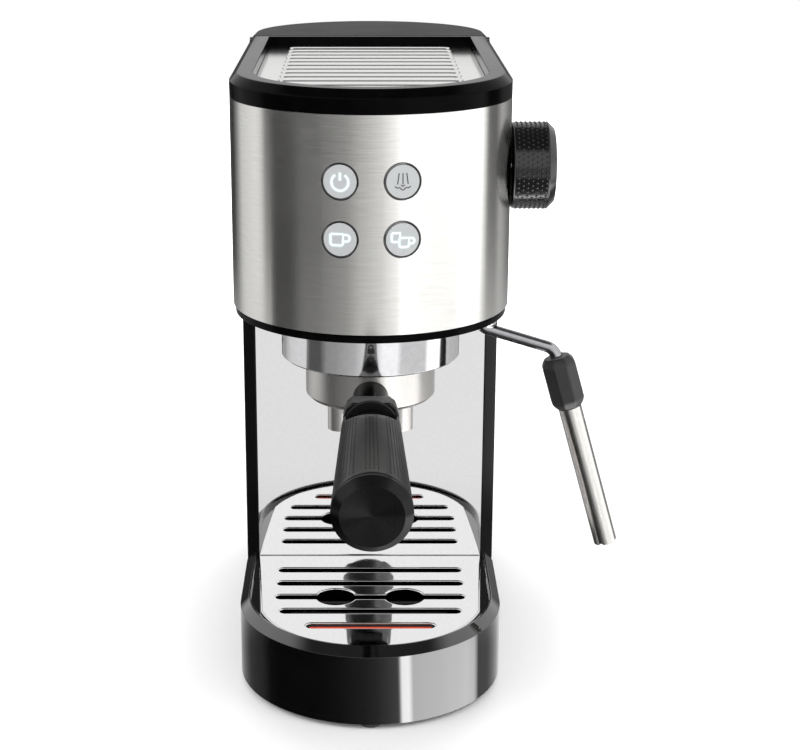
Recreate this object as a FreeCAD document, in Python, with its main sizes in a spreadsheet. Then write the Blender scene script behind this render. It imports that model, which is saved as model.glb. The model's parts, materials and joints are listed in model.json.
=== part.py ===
"""Slim espresso machine with a pump, a steam wand and a rear water tank, in millimetres.

The frame stands on the table: X runs to the right, Y to the back and Z up, and the
origin is the middle of the front foot's underside, on the machine's middle plane.
"""
import FreeCAD, Part
import math
import os
import re
import Sketcher
from FreeCAD import Placement, Rotation, Vector

# Driving sizes. Each is written once and everything else follows from it.
DRIVING = {
    # whole body
    "body_width": 140, "body_depth": 317, "body_height": 325,
    "plastic_wall": 3, "steel_sheet": 1, "fit_gap": 0.3, "running_gap": 0.05,
    "foot_height": 2.6, "foot_radius": 5.5, "foot_stem_radius": 3, "foot_inset": 2.4, "skirt_lift": 3,
    "base_thick": 4, "base_lift": 1.2, "screw_radius": 1.5, "screw_head_radius": 3.2,
    # drip tray
    "group_reach": 55, "tray_top": 45, "tray_wall": 5.4, "tray_chamfer": 4.5,
    "tray_floor_thick": 2, "tray_shelf": 7,
    "grid_thick": 1.2, "grid_drop": 1.8, "grid_side_gap": 1.4, "grid_waist_inset": 5.1,
    "grid_bow_lead": 2, "grid_bow_drop": 18, "slot_width": 6, "slot_pitch": 18,
    "slot_first": 20.7, "slot_margin": 12.2, "slot_fourth_trim": 3, "slot_front_trim": 17.5,
    "drain_radius": 10.5, "drain_spread": 18.5, "float_width": 4.4, "float_end_gap": 1.6,
    # column and tank bay
    "panel_inset": 7, "panel_rim": 0.6, "corner_depth": 4.5, "corner_post": 4,
    "tank_ahead": 20.2, "bay_gap": 1.2, "bay_wall": 3, "cradle_top": 40,
    "chassis_sheet": 1.5, "chassis_gap": 12, "shelf_lift": 19.3, "gland_radius": 6,
    # head
    "trim_thick": 4.3, "trim_inset": 1, "shell_height": 104.5, "ring_height": 11.5,
    "ring_chamfer": 3.9, "ring_rim": 12, "recess_depth": 6.2, "ring_ledge": 4,
    "ridge_margin": 12, "ridge_width": 13.2, "ridge_rise": 1.1,
    "ridge_lead": 26, "ridge_last": 10.7, "ridge_count": 12, "ring_bar": 2.6,
    # buttons
    "button_radius": 7.9, "bezel_radius": 9, "bezel_depth": 4, "button_spread": 14.5,
    "button_top_drop": 30.8, "button_pitch": 27.4,
    # steam knob and valve
    "knob_radius": 22, "knob_length": 21.6, "knob_chamfer": 3.5, "knob_drop": 36.5,
    "knob_setback": 50, "spindle_radius": 3, "valve_length": 30, "valve_width": 22,
    # group and portafilter
    "collar_drop": 24.2, "collar_wall": 6.4, "collar_lip": 3, "cup_drop": 15, "cup_height": 31.7,
    "cup_radius": 33.5, "cup_wall": 2.6, "ear_length": 5.3, "ear_gap": 0.7, "ear_thick": 3.4,
    "ear_width": 17, "gasket_thick": 3, "basket_gap": 1.3, "basket_sheet": 0.8,
    "spout_half": 22.3, "spout_drop": 19, "spout_radius": 6.8, "spout_bore": 4,
    # portafilter handle
    "handle_tilt": 2.9, "handle_rise": 9.6, "neck_gap": 26, "neck_length": 12.5,
    "neck_half": 11.5, "grip_length": 98, "grip_small": 14.2, "grip_large": 18,
    "cap_length": 5.5, "cap_chamfer": 3.8, "bolt_radius": 4, "boss_radius": 8, "boss_sink": 1.4,
    # steam wand
    "wand_gap": 10.1, "wand_setback": 9, "pipe_radius": 3, "pipe_bore": 1.9,
    "ball_radius": 5, "nut_radius": 8, "nut_height": 6.2, "wand_drop": 8.3, "arm_slope": 17,
    "arm_reach": 38.1, "wand_lean": 16, "arm_bend": 5, "wand_bend": 8,
    "wand_grip_radius": 8.5, "wand_grip_length": 27.6, "sleeve_radius": 6,
    "sleeve_length": 78.2, "sleeve_gap": 0.3, "pipe_end_inset": 22,
    "tip_notch": 1.4, "air_hole": 0.9,
    # water tank and lid
    "tank_sheet": 2.5, "tank_top_drop": 5.8, "lid_chamfer": 3.5, "lid_thick": 2.2,
    "lid_skirt": 2.4, "hinge_radius": 2.5, "pin_radius": 0.9, "boss_radius": 9, "boss_drop": 9,
    # works inside
    "pump_radius": 21, "pump_length": 62, "pump_height": 60, "pump_x": 28, "pump_setback": 41.9,
    "hose_run": 14, "block_height": 34, "block_length": 84, "block_width": 62,
    "hose_radius": 3, "hose_height": 22.2,
}

# Places worked out from the driving sizes.
DERIVED = {
    "half": "body_width / 2",
    "front_y": "half - foot_inset - foot_radius",
    "rear_y": "front_y + body_depth - body_width",
    "column_y": "front_y + group_reach",
    "tank_y": "rear_y - tank_ahead",
    "bay_y": "tank_y - bay_gap",
    "base_low": "skirt_lift + base_lift",
    "base_top": "skirt_lift + base_lift + base_thick",
    "tray_floor": "base_top + fit_gap",
    "tray_inner": "half - tray_wall",
    "grid_low": "tray_top - grid_drop - grid_thick",
    "grid_half": "tray_inner - grid_side_gap",
    "grid_waist": "grid_half - grid_waist_inset",
    "slot_half": "grid_half - slot_margin",
    "slot_half_fourth": "slot_half - slot_fourth_trim",
    "slot_half_front": "slot_half - slot_front_trim",
    "float_y": "column_y - slot_first - 4 * slot_pitch",
    "panel_half": "half - panel_inset",
    "ring_low": "body_height - ring_height",
    "shell_low": "ring_low - shell_height",
    "head_floor": "shell_low - trim_thick",
    "recess_half": "half - ring_rim",
    "recess_floor": "body_height - recess_depth",
    "ridge_half": "recess_half - ridge_margin",
    "ridge_start": "front_y - ridge_lead",
    "ridge_span": "bay_y - ring_bar - ridge_last - ridge_start",
    "chassis_half": "half - chassis_gap",
    "shelf_half": "chassis_half - 14",
    "shelf_height": "head_floor + shelf_lift",
    "shelf_top": "shelf_height + 2",
    "board_y": "front_y - half + bezel_depth + 14",
    "button_row_top": "ring_low - button_top_drop",
    "button_row_low": "button_row_top - button_pitch",
    "knob_height": "ring_low - knob_drop",
    "knob_y": "column_y - knob_setback",
    "valve_x": "half - 12 - valve_length",
    "lip_z": "head_floor - collar_drop",
    "cup_top": "head_floor - cup_drop",
    "cup_bottom": "cup_top - cup_height",
    "gasket_z": "cup_top + fit_gap",
    "ear_reach": "cup_radius + ear_length",
    "collar_bore": "ear_reach + ear_gap",
    "collar_radius": "collar_bore + collar_wall",
    "basket_radius": "cup_radius - cup_wall - basket_gap",
    "handle_height": "cup_bottom + handle_rise",
    "neck_start": "cup_radius + neck_gap",
    "wand_x": "collar_radius + wand_gap",
    "wand_y": "front_y - wand_setback",
    "sleeve_bore": "pipe_radius + sleeve_gap",
    "tank_top": "body_height - tank_top_drop",
    "boss_low": "cradle_top + fit_gap - boss_drop",
    "hinge_y": "tank_y + hinge_radius + 0.1",
    "hinge_z": "body_height - hinge_radius",
    "chassis_back": "bay_y - bay_wall - 0.2",
    "pump_y": "chassis_back - pump_setback",
    "block_back": "pump_y - hose_run",
}

UP = Rotation()
TO_RIGHT = Rotation(Vector(0, 1, 0), 90)
TO_BACK = Rotation(Vector(1, 0, 0), -90)
TURN = {"X": TO_RIGHT, "Y": TO_BACK, "Z": UP}

doc = FreeCAD.newDocument("EspressoMachine")
finished = []


def fill_sheet(title, cells, lead=""):
    """Makes a sheet with one named cell a row."""
    page = doc.addObject("Spreadsheet::Sheet", title)
    for row, (alias, content) in enumerate(cells.items(), start=1):
        page.set(f"A{row}", alias)
        page.set(f"B{row}", lead + (spell(content) if lead else str(content)))
        page.setAlias(f"B{row}", alias)
    return page


def spell(formula):
    """Gives each size's name in a formula its sheet, as expressions need."""
    def with_sheet(match):
        word = match.group(0)
        if word in DRIVING:
            return "Sizes." + word
        return "Places." + word if word in DERIVED else word
    return re.sub(r"[a-z_]\w*", with_sheet, str(formula))


sizes = fill_sheet("Sizes", DRIVING)
places = fill_sheet("Places", DERIVED, lead="=")
desk = doc.addObject("Spreadsheet::Sheet", "Desk")
doc.recompute()


def mm(formula):
    """Works a formula of named sizes out as a number."""
    desk.set("A1", "=" + spell(formula))
    desk.recompute()
    return float(desk.get("A1"))


def bind(item, **links):
    """Ties properties of an object to formulas."""
    for name, formula in links.items():
        item.setExpression(name, spell(formula))
    return item


def at(item, x="0", y="0", z="0", turn=UP):
    """Places an object at a point given by formulas."""
    item.Placement = Placement(Vector(mm(x), mm(y), mm(z)), turn)
    for axis, formula in (("x", x), ("y", y), ("z", z)):
        item.setExpression(".Placement.Base." + axis, spell(formula))
    return item


def done(item, label):
    """Names a finished sub-part, which is also the name of its file."""
    item.Label = label
    finished.append(item)
    return item


# ---------------------------------------------------------------- solids from primitives


def box(x_low, x_high, y_low, y_high, z_low, z_high):
    """A block between two corners."""
    block = doc.addObject("Part::Box", "block")
    bind(block, Length=f"({x_high}) - ({x_low})", Width=f"({y_high}) - ({y_low})",
         Height=f"({z_high}) - ({z_low})")
    return at(block, x_low, y_low, z_low)


def rod(axis, x, y, z, radius, length):
    """A cylinder that starts at a point and runs along +X, +Y or +Z."""
    bar = doc.addObject("Part::Cylinder", "rod")
    bind(bar, Radius=radius, Height=length)
    return at(bar, x, y, z, TURN[axis])


def ball(x, y, z, radius):
    """A sphere about a point."""
    globe = doc.addObject("Part::Sphere", "ball")
    bind(globe, Radius=radius)
    return at(globe, x, y, z)


def join(*items):
    """One solid, or one group of solids, from several."""
    if len(items) == 1:
        return items[0]
    union = doc.addObject("Part::MultiFuse", "join")
    union.Shapes = list(items)
    return union


def cut(base, *tools):
    """A base with tools taken away."""
    result = doc.addObject("Part::Cut", "cut")
    result.Base = base
    result.Tool = join(*tools)
    return result


def overlap(first, second):
    """What two solids share."""
    result = doc.addObject("Part::Common", "overlap")
    result.Base = first
    result.Tool = second
    return result


def tube(axis, x, y, z, outer, inner, length):
    """A straight tube."""
    return cut(rod(axis, x, y, z, outer, length), rod(axis, x, y, z, inner, length))


# ---------------------------------------------------------------- bodies from sketches


def start_body(name):
    """An empty body."""
    return doc.addObject("PartDesign::Body", name)


def sketch_in(body, plane, height="0"):
    """A sketch on one of the body's own planes, raised by a formula."""
    sketch = body.newObject("Sketcher::SketchObject", "outline")
    origin = [face for face in body.Origin.OriginFeatures if face.Role == plane][0]
    sketch.AttachmentSupport = [(origin, "")]
    sketch.MapMode = "FlatFace"
    sketch.AttachmentOffset = Placement(Vector(0, 0, mm(height)), UP)
    sketch.setExpression("AttachmentOffset.Base.z", spell(height))
    return sketch


def pin_down(sketch, kind, where, formula):
    """Adds a dimension and ties it to a formula."""
    index = sketch.addConstraint(Sketcher.Constraint(kind, *where, mm(formula)))
    sketch.setExpression(f"Constraints[{index}]", spell(formula))


def polygon(sketch, corners):
    """A closed outline through corners, each given by two formulas."""
    spots = [Vector(mm(x), mm(y), 0) for x, y in corners]
    first = sketch.GeometryCount
    count = len(corners)
    for index in range(count):
        sketch.addGeometry(Part.LineSegment(spots[index], spots[(index + 1) % count]))
    for index, (x, y) in enumerate(corners):
        line = first + index
        nearby = first + (index - 1) % count
        sketch.addConstraint(Sketcher.Constraint("Coincident", nearby, 2, line, 1))
        pin_down(sketch, "DistanceX", (line, 1), x)
        pin_down(sketch, "DistanceY", (line, 1), y)


def arch(sketch, radius, centre, end):
    """A half-round outline about (0, centre) whose straight sides run to y = end."""
    reach = mm(radius)
    middle = mm(centre)
    back = mm(end)
    start = 180 if back > middle else 0
    circle = Part.Circle(Vector(0, middle, 0), Vector(0, 0, 1), reach)
    sketch.addGeometry(Part.ArcOfCircle(circle, math.radians(start), math.radians(start + 180)))
    side = reach if back > middle else -reach
    spots = [Vector(side, middle, 0), Vector(side, back, 0),
             Vector(-side, back, 0), Vector(-side, middle, 0)]
    for index in range(3):
        sketch.addGeometry(Part.LineSegment(spots[index], spots[index + 1]))
    for first, second in (((0, 2), (1, 1)), ((1, 2), (2, 1)), ((2, 2), (3, 1)), ((3, 2), (0, 1))):
        sketch.addConstraint(Sketcher.Constraint("Coincident", *first, *second))
    for line in (1, 3):
        sketch.addConstraint(Sketcher.Constraint("Vertical", line))
    sketch.addConstraint(Sketcher.Constraint("Horizontal", 2))
    sketch.addConstraint(Sketcher.Constraint("PointOnObject", 0, 3, -2))
    for tip in (1, 2):
        sketch.addConstraint(Sketcher.Constraint("Horizontal", 0, tip, 0, 3))
    pin_down(sketch, "Radius", (0,), radius)
    pin_down(sketch, "DistanceY", (0, 3), centre)
    pin_down(sketch, "DistanceY", (1, 2), end)


def ring_mark(sketch, x, y, radius):
    """A circle in a sketch, about a point given by formulas."""
    index = sketch.addGeometry(Part.Circle(Vector(mm(x), mm(y), 0), Vector(0, 0, 1), mm(radius)))
    pin_down(sketch, "DistanceX", (index, 3), x)
    pin_down(sketch, "DistanceY", (index, 3), y)
    pin_down(sketch, "Radius", (index,), radius)


def pad(body, sketch, length, both_ways=False):
    """Raises a sketch into a solid."""
    feature = body.newObject("PartDesign::Pad", "pad")
    feature.Profile = sketch
    feature.Midplane = both_ways
    bind(feature, Length=length)
    doc.recompute()
    return feature


def pocket(body, sketch, length):
    """Cuts a sketch down into the body, and makes sure that it did."""
    before = body.Shape.Volume
    feature = body.newObject("PartDesign::Pocket", "pocket")
    feature.Profile = sketch
    bind(feature, Length=length)
    doc.recompute()
    if body.Shape.Volume > before - 0.001:
        raise RuntimeError(body.Name + ": a pocket cut nothing")
    return feature


def revolve(body, sketch):
    """Turns a sketch about its upright axis."""
    feature = body.newObject("PartDesign::Revolution", "turning")
    feature.Profile = sketch
    feature.ReferenceAxis = (sketch, ["V_Axis"])
    feature.Angle = 360
    doc.recompute()
    return feature


def chamfer(body, size, wanted):
    """Breaks the edges that a test picks out."""
    base = body.Tip
    names = [f"Edge{number}" for number, edge in enumerate(base.Shape.Edges, start=1)
             if wanted(edge)]
    feature = body.newObject("PartDesign::Chamfer", "chamfer")
    feature.Base = (base, names)
    bind(feature, Size=size)
    doc.recompute()
    return feature


def arch_body(name, radius, centre, end, low, height):
    """A body with a half-round end, from a height up."""
    body = start_body(name)
    sketch = sketch_in(body, "XY_Plane", low)
    arch(sketch, radius, centre, end)
    pad(body, sketch, height)
    return body


def arch_pocket(body, radius, centre, end, top, depth):
    """A half-round cavity, from a height down."""
    sketch = sketch_in(body, "XY_Plane", top)
    arch(sketch, radius, centre, end)
    return pocket(body, sketch, depth)


def turned(name, corners):
    """A body of revolution about its own Z, from corners of radius and height."""
    body = start_body(name)
    sketch = sketch_in(body, "XZ_Plane")
    polygon(sketch, corners)
    revolve(body, sketch)
    return body


def outer_edge_at(height, clear_of):
    """Picks edges that lie at one height, away from a straight end."""
    level = mm(height)
    limit = mm(clear_of)

    def wanted(edge):
        bounds = edge.BoundBox
        flat = abs(bounds.ZMin - level) < 0.001 and abs(bounds.ZMax - level) < 0.001
        return flat and bounds.YLength > 0.5 and abs(bounds.YMin - limit) > -1
    return wanted


# ---------------------------------------------------------------- base and drip tray

FEET = (("0", "0"),
        ("half - 14", "front_y + 8"), ("14 - half", "front_y + 8"),
        ("half - 26", "rear_y + 36"), ("26 - half", "rear_y + 36"))
SCREWS = (("half - 7.5", "column_y + 12"), ("7.5 - half", "column_y + 12"),
          ("half - 7.5", "bay_y - 16"), ("7.5 - half", "bay_y - 16"),
          ("half - 16", "rear_y + 14"), ("16 - half", "rear_y + 14"))


def make_base_plate():
    """The flat bottom plate, inside the skirts of the tray, the column and the cradle."""
    inset = "half - plastic_wall - fit_gap"
    plate = join(rod("Z", "0", "front_y", "base_low", inset, "base_thick"),
                 rod("Z", "0", "rear_y", "base_low", inset, "base_thick"),
                 box(f"-({inset})", inset, "front_y", "rear_y", "base_low", "base_top"))
    holes = [rod("Z", x, y, "base_low", "foot_stem_radius", "base_thick") for x, y in FEET]
    for x, y in SCREWS:
        holes.append(rod("Z", x, y, "base_low", "screw_radius", "base_thick"))
        holes.append(rod("Z", x, y, "base_low", "screw_head_radius", "2"))
    done(cut(plate, *holes), "base_plate")


def make_feet():
    """Five rubber feet pressed into the plate."""
    feet = []
    for x, y in FEET:
        feet.append(join(rod("Z", x, y, "0", "foot_radius", "foot_height"),
                         rod("Z", x, y, "foot_height", "foot_stem_radius",
                             "base_top - foot_height")))
    done(join(*feet), "rubber_feet")


def make_base_screws():
    """Screws that hold the column and the cradle to the plate."""
    screws = []
    for x, y in SCREWS:
        screws.append(join(rod("Z", x, y, "base_low + 0.2", "screw_head_radius - 0.2", "1.8"),
                           rod("Z", x, y, "base_low + 2", "screw_radius", "base_thick + 8")))
    done(join(*screws), "base_screws")


def make_drip_tray():
    """The whole front of the base: a tub that slides forward off the plate."""
    back = "column_y - fit_gap"
    tray = arch_body("DripTray", "half", "front_y", back, "skirt_lift", "tray_top - skirt_lift")
    chamfer(tray, "tray_chamfer", outer_edge_at("tray_top", back))
    arch_pocket(tray, "tray_inner", "front_y", back, "tray_top", "grid_drop + grid_thick")
    shelf = "tray_inner - tray_shelf"
    arch_pocket(tray, shelf, "front_y", f"{back} - tray_shelf", "grid_low",
                "grid_low - tray_floor - tray_floor_thick")
    skirt = "half - plastic_wall"
    arch_pocket(tray, skirt, "front_y", back, "tray_floor", "tray_floor - skirt_lift")
    done(tray, "drip_tray")


def make_drip_grid():
    """The polished plate with its five slots and two round openings."""
    grid = start_body("DripGrid")
    sketch = sketch_in(grid, "XY_Plane", "grid_low")
    bow_y = "front_y - grid_bow_lead"
    back = "column_y - fit_gap - 0.2"
    waist_y = f"{bow_y} - grid_bow_drop"
    drop = mm("grid_bow_drop")
    lean = math.atan2(drop, mm("grid_waist"))
    circle = Part.Circle(Vector(0, mm(bow_y), 0), Vector(0, 0, 1), math.hypot(mm("grid_waist"), drop))
    sketch.addGeometry(Part.ArcOfCircle(circle, math.pi + lean, 2 * math.pi - lean))
    corners = [(mm("grid_waist"), mm(waist_y)), (mm("grid_half"), mm(back)),
               (-mm("grid_half"), mm(back)), (-mm("grid_waist"), mm(waist_y))]
    for start, end in zip(corners, corners[1:]):
        sketch.addGeometry(Part.LineSegment(Vector(*start, 0), Vector(*end, 0)))
    for first, second in (((0, 2), (1, 1)), ((1, 2), (2, 1)), ((2, 2), (3, 1)), ((3, 2), (0, 1))):
        sketch.addConstraint(Sketcher.Constraint("Coincident", *first, *second))
    sketch.addConstraint(Sketcher.Constraint("PointOnObject", 0, 3, -2))
    pin_down(sketch, "DistanceY", (0, 3), bow_y)
    for line, x, y in ((1, "grid_waist", waist_y), (2, "grid_half", back), (3, "-grid_half", back)):
        pin_down(sketch, "DistanceX", (line, 1), x)
        pin_down(sketch, "DistanceY", (line, 1), y)
    pin_down(sketch, "DistanceX", (3, 2), "-grid_waist")
    pad(grid, sketch, "grid_thick")
    sketch = sketch_in(grid, "XY_Plane", "grid_low + grid_thick")
    ring_mark(sketch, "drain_spread", "column_y - slot_first - 2 * slot_pitch", "drain_radius")
    ring_mark(sketch, "-drain_spread", "column_y - slot_first - 2 * slot_pitch", "drain_radius")
    pocket(grid, sketch, "grid_thick")
    for index, half_length in enumerate(("slot_half", "slot_half", "slot_half",
                                         "slot_half_fourth", "slot_half_front")):
        cut_slot(grid, f"column_y - slot_first - {index} * slot_pitch", half_length)
    done(grid, "drip_grid")


def cut_slot(body, y, half_length):
    """One drain slot across the plate, with round ends."""
    sketch = sketch_in(body, "XY_Plane", "grid_low + grid_thick")
    centre = f"{half_length} - slot_width / 2"
    nose = mm("slot_width") / 2
    reach = mm(centre)
    level = mm(y)
    for side, start in ((1, -90), (-1, 90)):
        circle = Part.Circle(Vector(side * reach, level, 0), Vector(0, 0, 1), nose)
        sketch.addGeometry(Part.ArcOfCircle(circle, math.radians(start), math.radians(start + 180)))
    sketch.addGeometry(Part.LineSegment(Vector(reach, level + nose, 0), Vector(-reach, level + nose, 0)))
    sketch.addGeometry(Part.LineSegment(Vector(-reach, level - nose, 0), Vector(reach, level - nose, 0)))
    for first, second in (((0, 2), (2, 1)), ((2, 2), (1, 1)), ((1, 2), (3, 1)), ((3, 2), (0, 1))):
        sketch.addConstraint(Sketcher.Constraint("Tangent", *first, *second))
    sketch.addConstraint(Sketcher.Constraint("Horizontal", 2))
    pin_down(sketch, "Radius", (0,), "slot_width / 2")
    pin_down(sketch, "DistanceX", (0, 3), centre)
    pin_down(sketch, "DistanceX", (1, 3), f"-({centre})")
    pin_down(sketch, "DistanceY", (0, 3), y)
    pocket(body, sketch, "grid_thick")


def make_float():
    """The red level float: a block in the tray whose bar rises through the front slot."""
    seat = "tray_floor + tray_floor_thick + fit_gap"
    half_bar = "slot_half_front - float_end_gap"
    block = box("-24", "24", "float_y - 7", "float_y + 7", seat, f"{seat} + 10")
    bar = box(f"-({half_bar})", half_bar, "float_y - float_width / 2", "float_y + float_width / 2",
              f"{seat} + 10", "grid_low - 0.6")
    done(join(block, bar), "tray_float")


# ---------------------------------------------------------------- column and tank bay


def column_corner(side):
    """The wedge that bevels a front corner of the column down to the panel's edge."""
    wedge = start_body("ColumnCorner")
    sketch = sketch_in(wedge, "XY_Plane")
    inner = f"{side} * (panel_half + panel_rim)"
    outer = f"{side} * (half + 1)"
    polygon(sketch, ((inner, "column_y - 1"), (inner, "column_y"),
                     (f"{side} * half", "column_y + corner_depth"),
                     (outer, "column_y + corner_depth"), (outer, "column_y - 1")))
    pad(wedge, sketch, "head_floor + 2")
    return wedge


def make_column():
    """The black column: side walls, a front frame with bevelled corners, posts and screw bosses."""
    inner = "half - plastic_wall"
    window = "panel_half - 6"
    shell = box("-half", "half", "column_y", "bay_y", "skirt_lift", "head_floor")
    hollow = box(f"-({inner})", inner, "column_y + plastic_wall", "bay_y", "skirt_lift", "head_floor")
    rebate = box("-panel_half - 0.1", "panel_half + 0.1", "column_y", "column_y + steel_sheet",
                 "grid_low - 2", "head_floor")
    opening = box(f"-({window})", window, "column_y", "column_y + plastic_wall",
                  "tray_top + 8", "head_floor - 8")
    plate_way = box(f"-({inner})", inner, "column_y", "column_y + plastic_wall", "skirt_lift",
                    "base_top")
    walls = cut(shell, hollow, rebate, opening, plate_way)
    behind = "column_y + plastic_wall"
    posts = [box(low, f"{low} + corner_post", behind, f"{behind} + corner_post", "base_top", "head_floor")
             for low in (f"-({inner})", f"{inner} - corner_post")]
    corners = [column_corner(side) for side in (-1, 1)]
    bosses = [rod("Z", x, y, "base_top", "5", "12") for x, y in SCREWS[:4]]
    holes = [rod("Z", x, y, "base_top", "screw_radius", "12") for x, y in SCREWS[:4]]
    done(cut(join(walls, *posts, *bosses), *corners, *holes), "column_shell")


def make_front_panel():
    """The mirror-polished sheet on the column's front."""
    panel = start_body("FrontPanel")
    sketch = sketch_in(panel, "XZ_Plane")
    polygon(sketch, (("-panel_half", "grid_low - 1.8"), ("panel_half", "grid_low - 1.8"),
                     ("panel_half", "head_floor - 0.1"), ("-panel_half", "head_floor - 0.1")))
    feature = pad(panel, sketch, "steel_sheet")
    feature.Reversed = True
    at(panel, "0", "column_y", "0")
    done(panel, "column_front_panel")


def make_bay_wall():
    """The bulkhead between the works and the water tank."""
    inner = "half - plastic_wall"
    low = box(f"-({inner})", inner, "bay_y - bay_wall", "bay_y", "base_top", "head_floor")
    high = box("steel_sheet - half", "half - steel_sheet", "bay_y - bay_wall", "bay_y",
               "head_floor", "ring_low")
    hose_way = rod("Y", "-pump_x", "bay_y - bay_wall", "hose_height", "hose_radius + 1", "bay_wall")
    done(cut(join(low, high), hose_way), "tank_bay_wall")


def make_cradle():
    """The rear foot of the body, which carries the water tank."""
    outer = arch_body("CradleBlock", "half", "rear_y", "bay_y", "skirt_lift", "cradle_top - skirt_lift")
    arch_pocket(outer, "half - plastic_wall", "rear_y", "bay_y",
                "cradle_top - plastic_wall", "cradle_top - plastic_wall - skirt_lift")
    bosses = [rod("Z", x, y, "base_top", "5", "cradle_top - plastic_wall - base_top")
              for x, y in SCREWS[4:]]
    holes = [rod("Z", x, y, "base_top", "screw_radius", "12") for x, y in SCREWS[4:]]
    socket = rod("Z", "0", "rear_y", "cradle_top - plastic_wall", "boss_radius + 3", "plastic_wall")
    exit_hole = rod("Y", "0", "rear_y + half - 6", "base_top + 12", "gland_radius", "8")
    done(cut(join(outer, *bosses), socket, exit_hole, *holes), "tank_cradle")


def make_gland():
    """The bush in the cradle's wall where the mains lead comes out."""
    wall = "rear_y + half - plastic_wall"
    body = join(rod("Y", "0", f"{wall} - 6", "base_top + 12", "gland_radius", "plastic_wall + 8"),
                rod("Y", "0", f"{wall} + plastic_wall + 0.4", "base_top + 12", "gland_radius + 2", "1.6"),
                rod("Y", "0", f"{wall} - 3", "base_top + 12", "gland_radius + 1.5", "2"))
    done(cut(body, rod("Y", "0", f"{wall} - 6", "base_top + 12", "3.6", "plastic_wall + 8")), "cord_gland")


def make_chassis():
    """The folded sheet frame that carries the works from the base to the head."""
    back = "chassis_back"
    foot = box("12 - chassis_half", "chassis_half - 12", "column_y + 8", back, "base_top",
               "base_top + chassis_sheet")
    upright = box("12 - chassis_half", "chassis_half - 12", f"{back} - chassis_sheet", back,
                  "base_top", "ring_low - 14")
    shelf = box("-shelf_half", "shelf_half", "front_y + 26 - half", back, "shelf_height", "shelf_top")
    web_low = "pump_height + pump_length + 26"
    webs = [box(x, f"{x} + chassis_sheet", "column_y + 40", back, web_low, "shelf_height")
            for x in ("-shelf_half - 1", "shelf_half - 0.5")]
    hose_way = rod("Y", "-pump_x", f"{back} - chassis_sheet", "hose_height", "hose_radius + 1",
                   "chassis_sheet")
    riser_way = rod("Z", "-pump_x", "pump_y", "shelf_height", "hose_radius + 1", "2")
    done(cut(join(foot, upright, shelf, *webs), hose_way, riser_way), "inner_frame")


# ---------------------------------------------------------------- head


def button_places():
    """The four buttons: name, side and height of each."""
    return (("button_power", -1, "button_row_top"), ("button_steam", 1, "button_row_top"),
            ("button_one_cup", -1, "button_row_low"), ("button_two_cups", 1, "button_row_low"))


def button_turn(side):
    """The turn from +Y to the inward normal of the front curve at a button."""
    return side * math.degrees(math.asin(mm("button_spread / half")))


def button_rod(side, height, radius, out, inward):
    """A round bar along a button's own axis, from out in front of the shell to inside it."""
    bar = doc.addObject("Part::Cylinder", "button_rod")
    bind(bar, Radius=radius, Height=f"({out}) + ({inward})")
    angle = math.radians(button_turn(side))
    reach = mm(f"half + {out}")
    spot = Vector(reach * math.sin(angle), mm("front_y") - reach * math.cos(angle), mm(height))
    bar.Placement = Placement(spot, Rotation(Vector(0, 0, 1), math.degrees(angle)).multiply(TO_BACK))
    return bar


def make_head_shell():
    """The brushed steel wrap of the head, open at the bottom, top and back."""
    shell = arch_body("HeadShell", "half", "front_y", "bay_y", "shell_low", "shell_height")
    arch_pocket(shell, "half - steel_sheet", "front_y", "bay_y", "ring_low", "shell_height")
    holes = [button_rod(side, height, "bezel_radius", "3", "8") for _, side, height in button_places()]
    spindle_way = rod("X", "half - 6", "knob_y", "knob_height", "spindle_radius + 2", "12")
    done(cut(shell, spindle_way, *holes), "head_shell")


def make_trim():
    """The black floor of the head, with the ways for the group and the wand."""
    trim = arch_body("Trim", "half - trim_inset", "front_y", "bay_y", "head_floor", "trim_thick")
    group_way = rod("Z", "0", "front_y", "head_floor", "collar_bore", "trim_thick")
    wand_way = rod("Z", "wand_x", "wand_y", "head_floor", "ball_radius + fit_gap", "trim_thick")
    works_way = box("10 - half", "half - 10", "column_y + 6", "bay_y - bay_wall", "head_floor", "shell_low")
    bulkhead = box("-half", "half", "bay_y - bay_wall", "bay_y", "head_floor", "shell_low")
    done(cut(trim, group_way, wand_way, works_way, bulkhead), "head_bottom_trim")


def make_top_ring():
    """The gloss frame round the cup warmer, with its recess and ledge."""
    ring = arch_body("TopRing", "half", "front_y", "bay_y", "ring_low", "body_height - ring_low")
    chamfer(ring, "ring_chamfer", outer_edge_at("body_height", "bay_y"))
    arch_pocket(ring, "recess_half", "front_y", "bay_y - ring_bar", "body_height", "recess_depth")
    arch_pocket(ring, "recess_half - ring_ledge", "front_y", "bay_y - ring_bar - ring_ledge",
                "recess_floor", "recess_floor - ring_low")
    done(ring, "top_ring")


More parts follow.
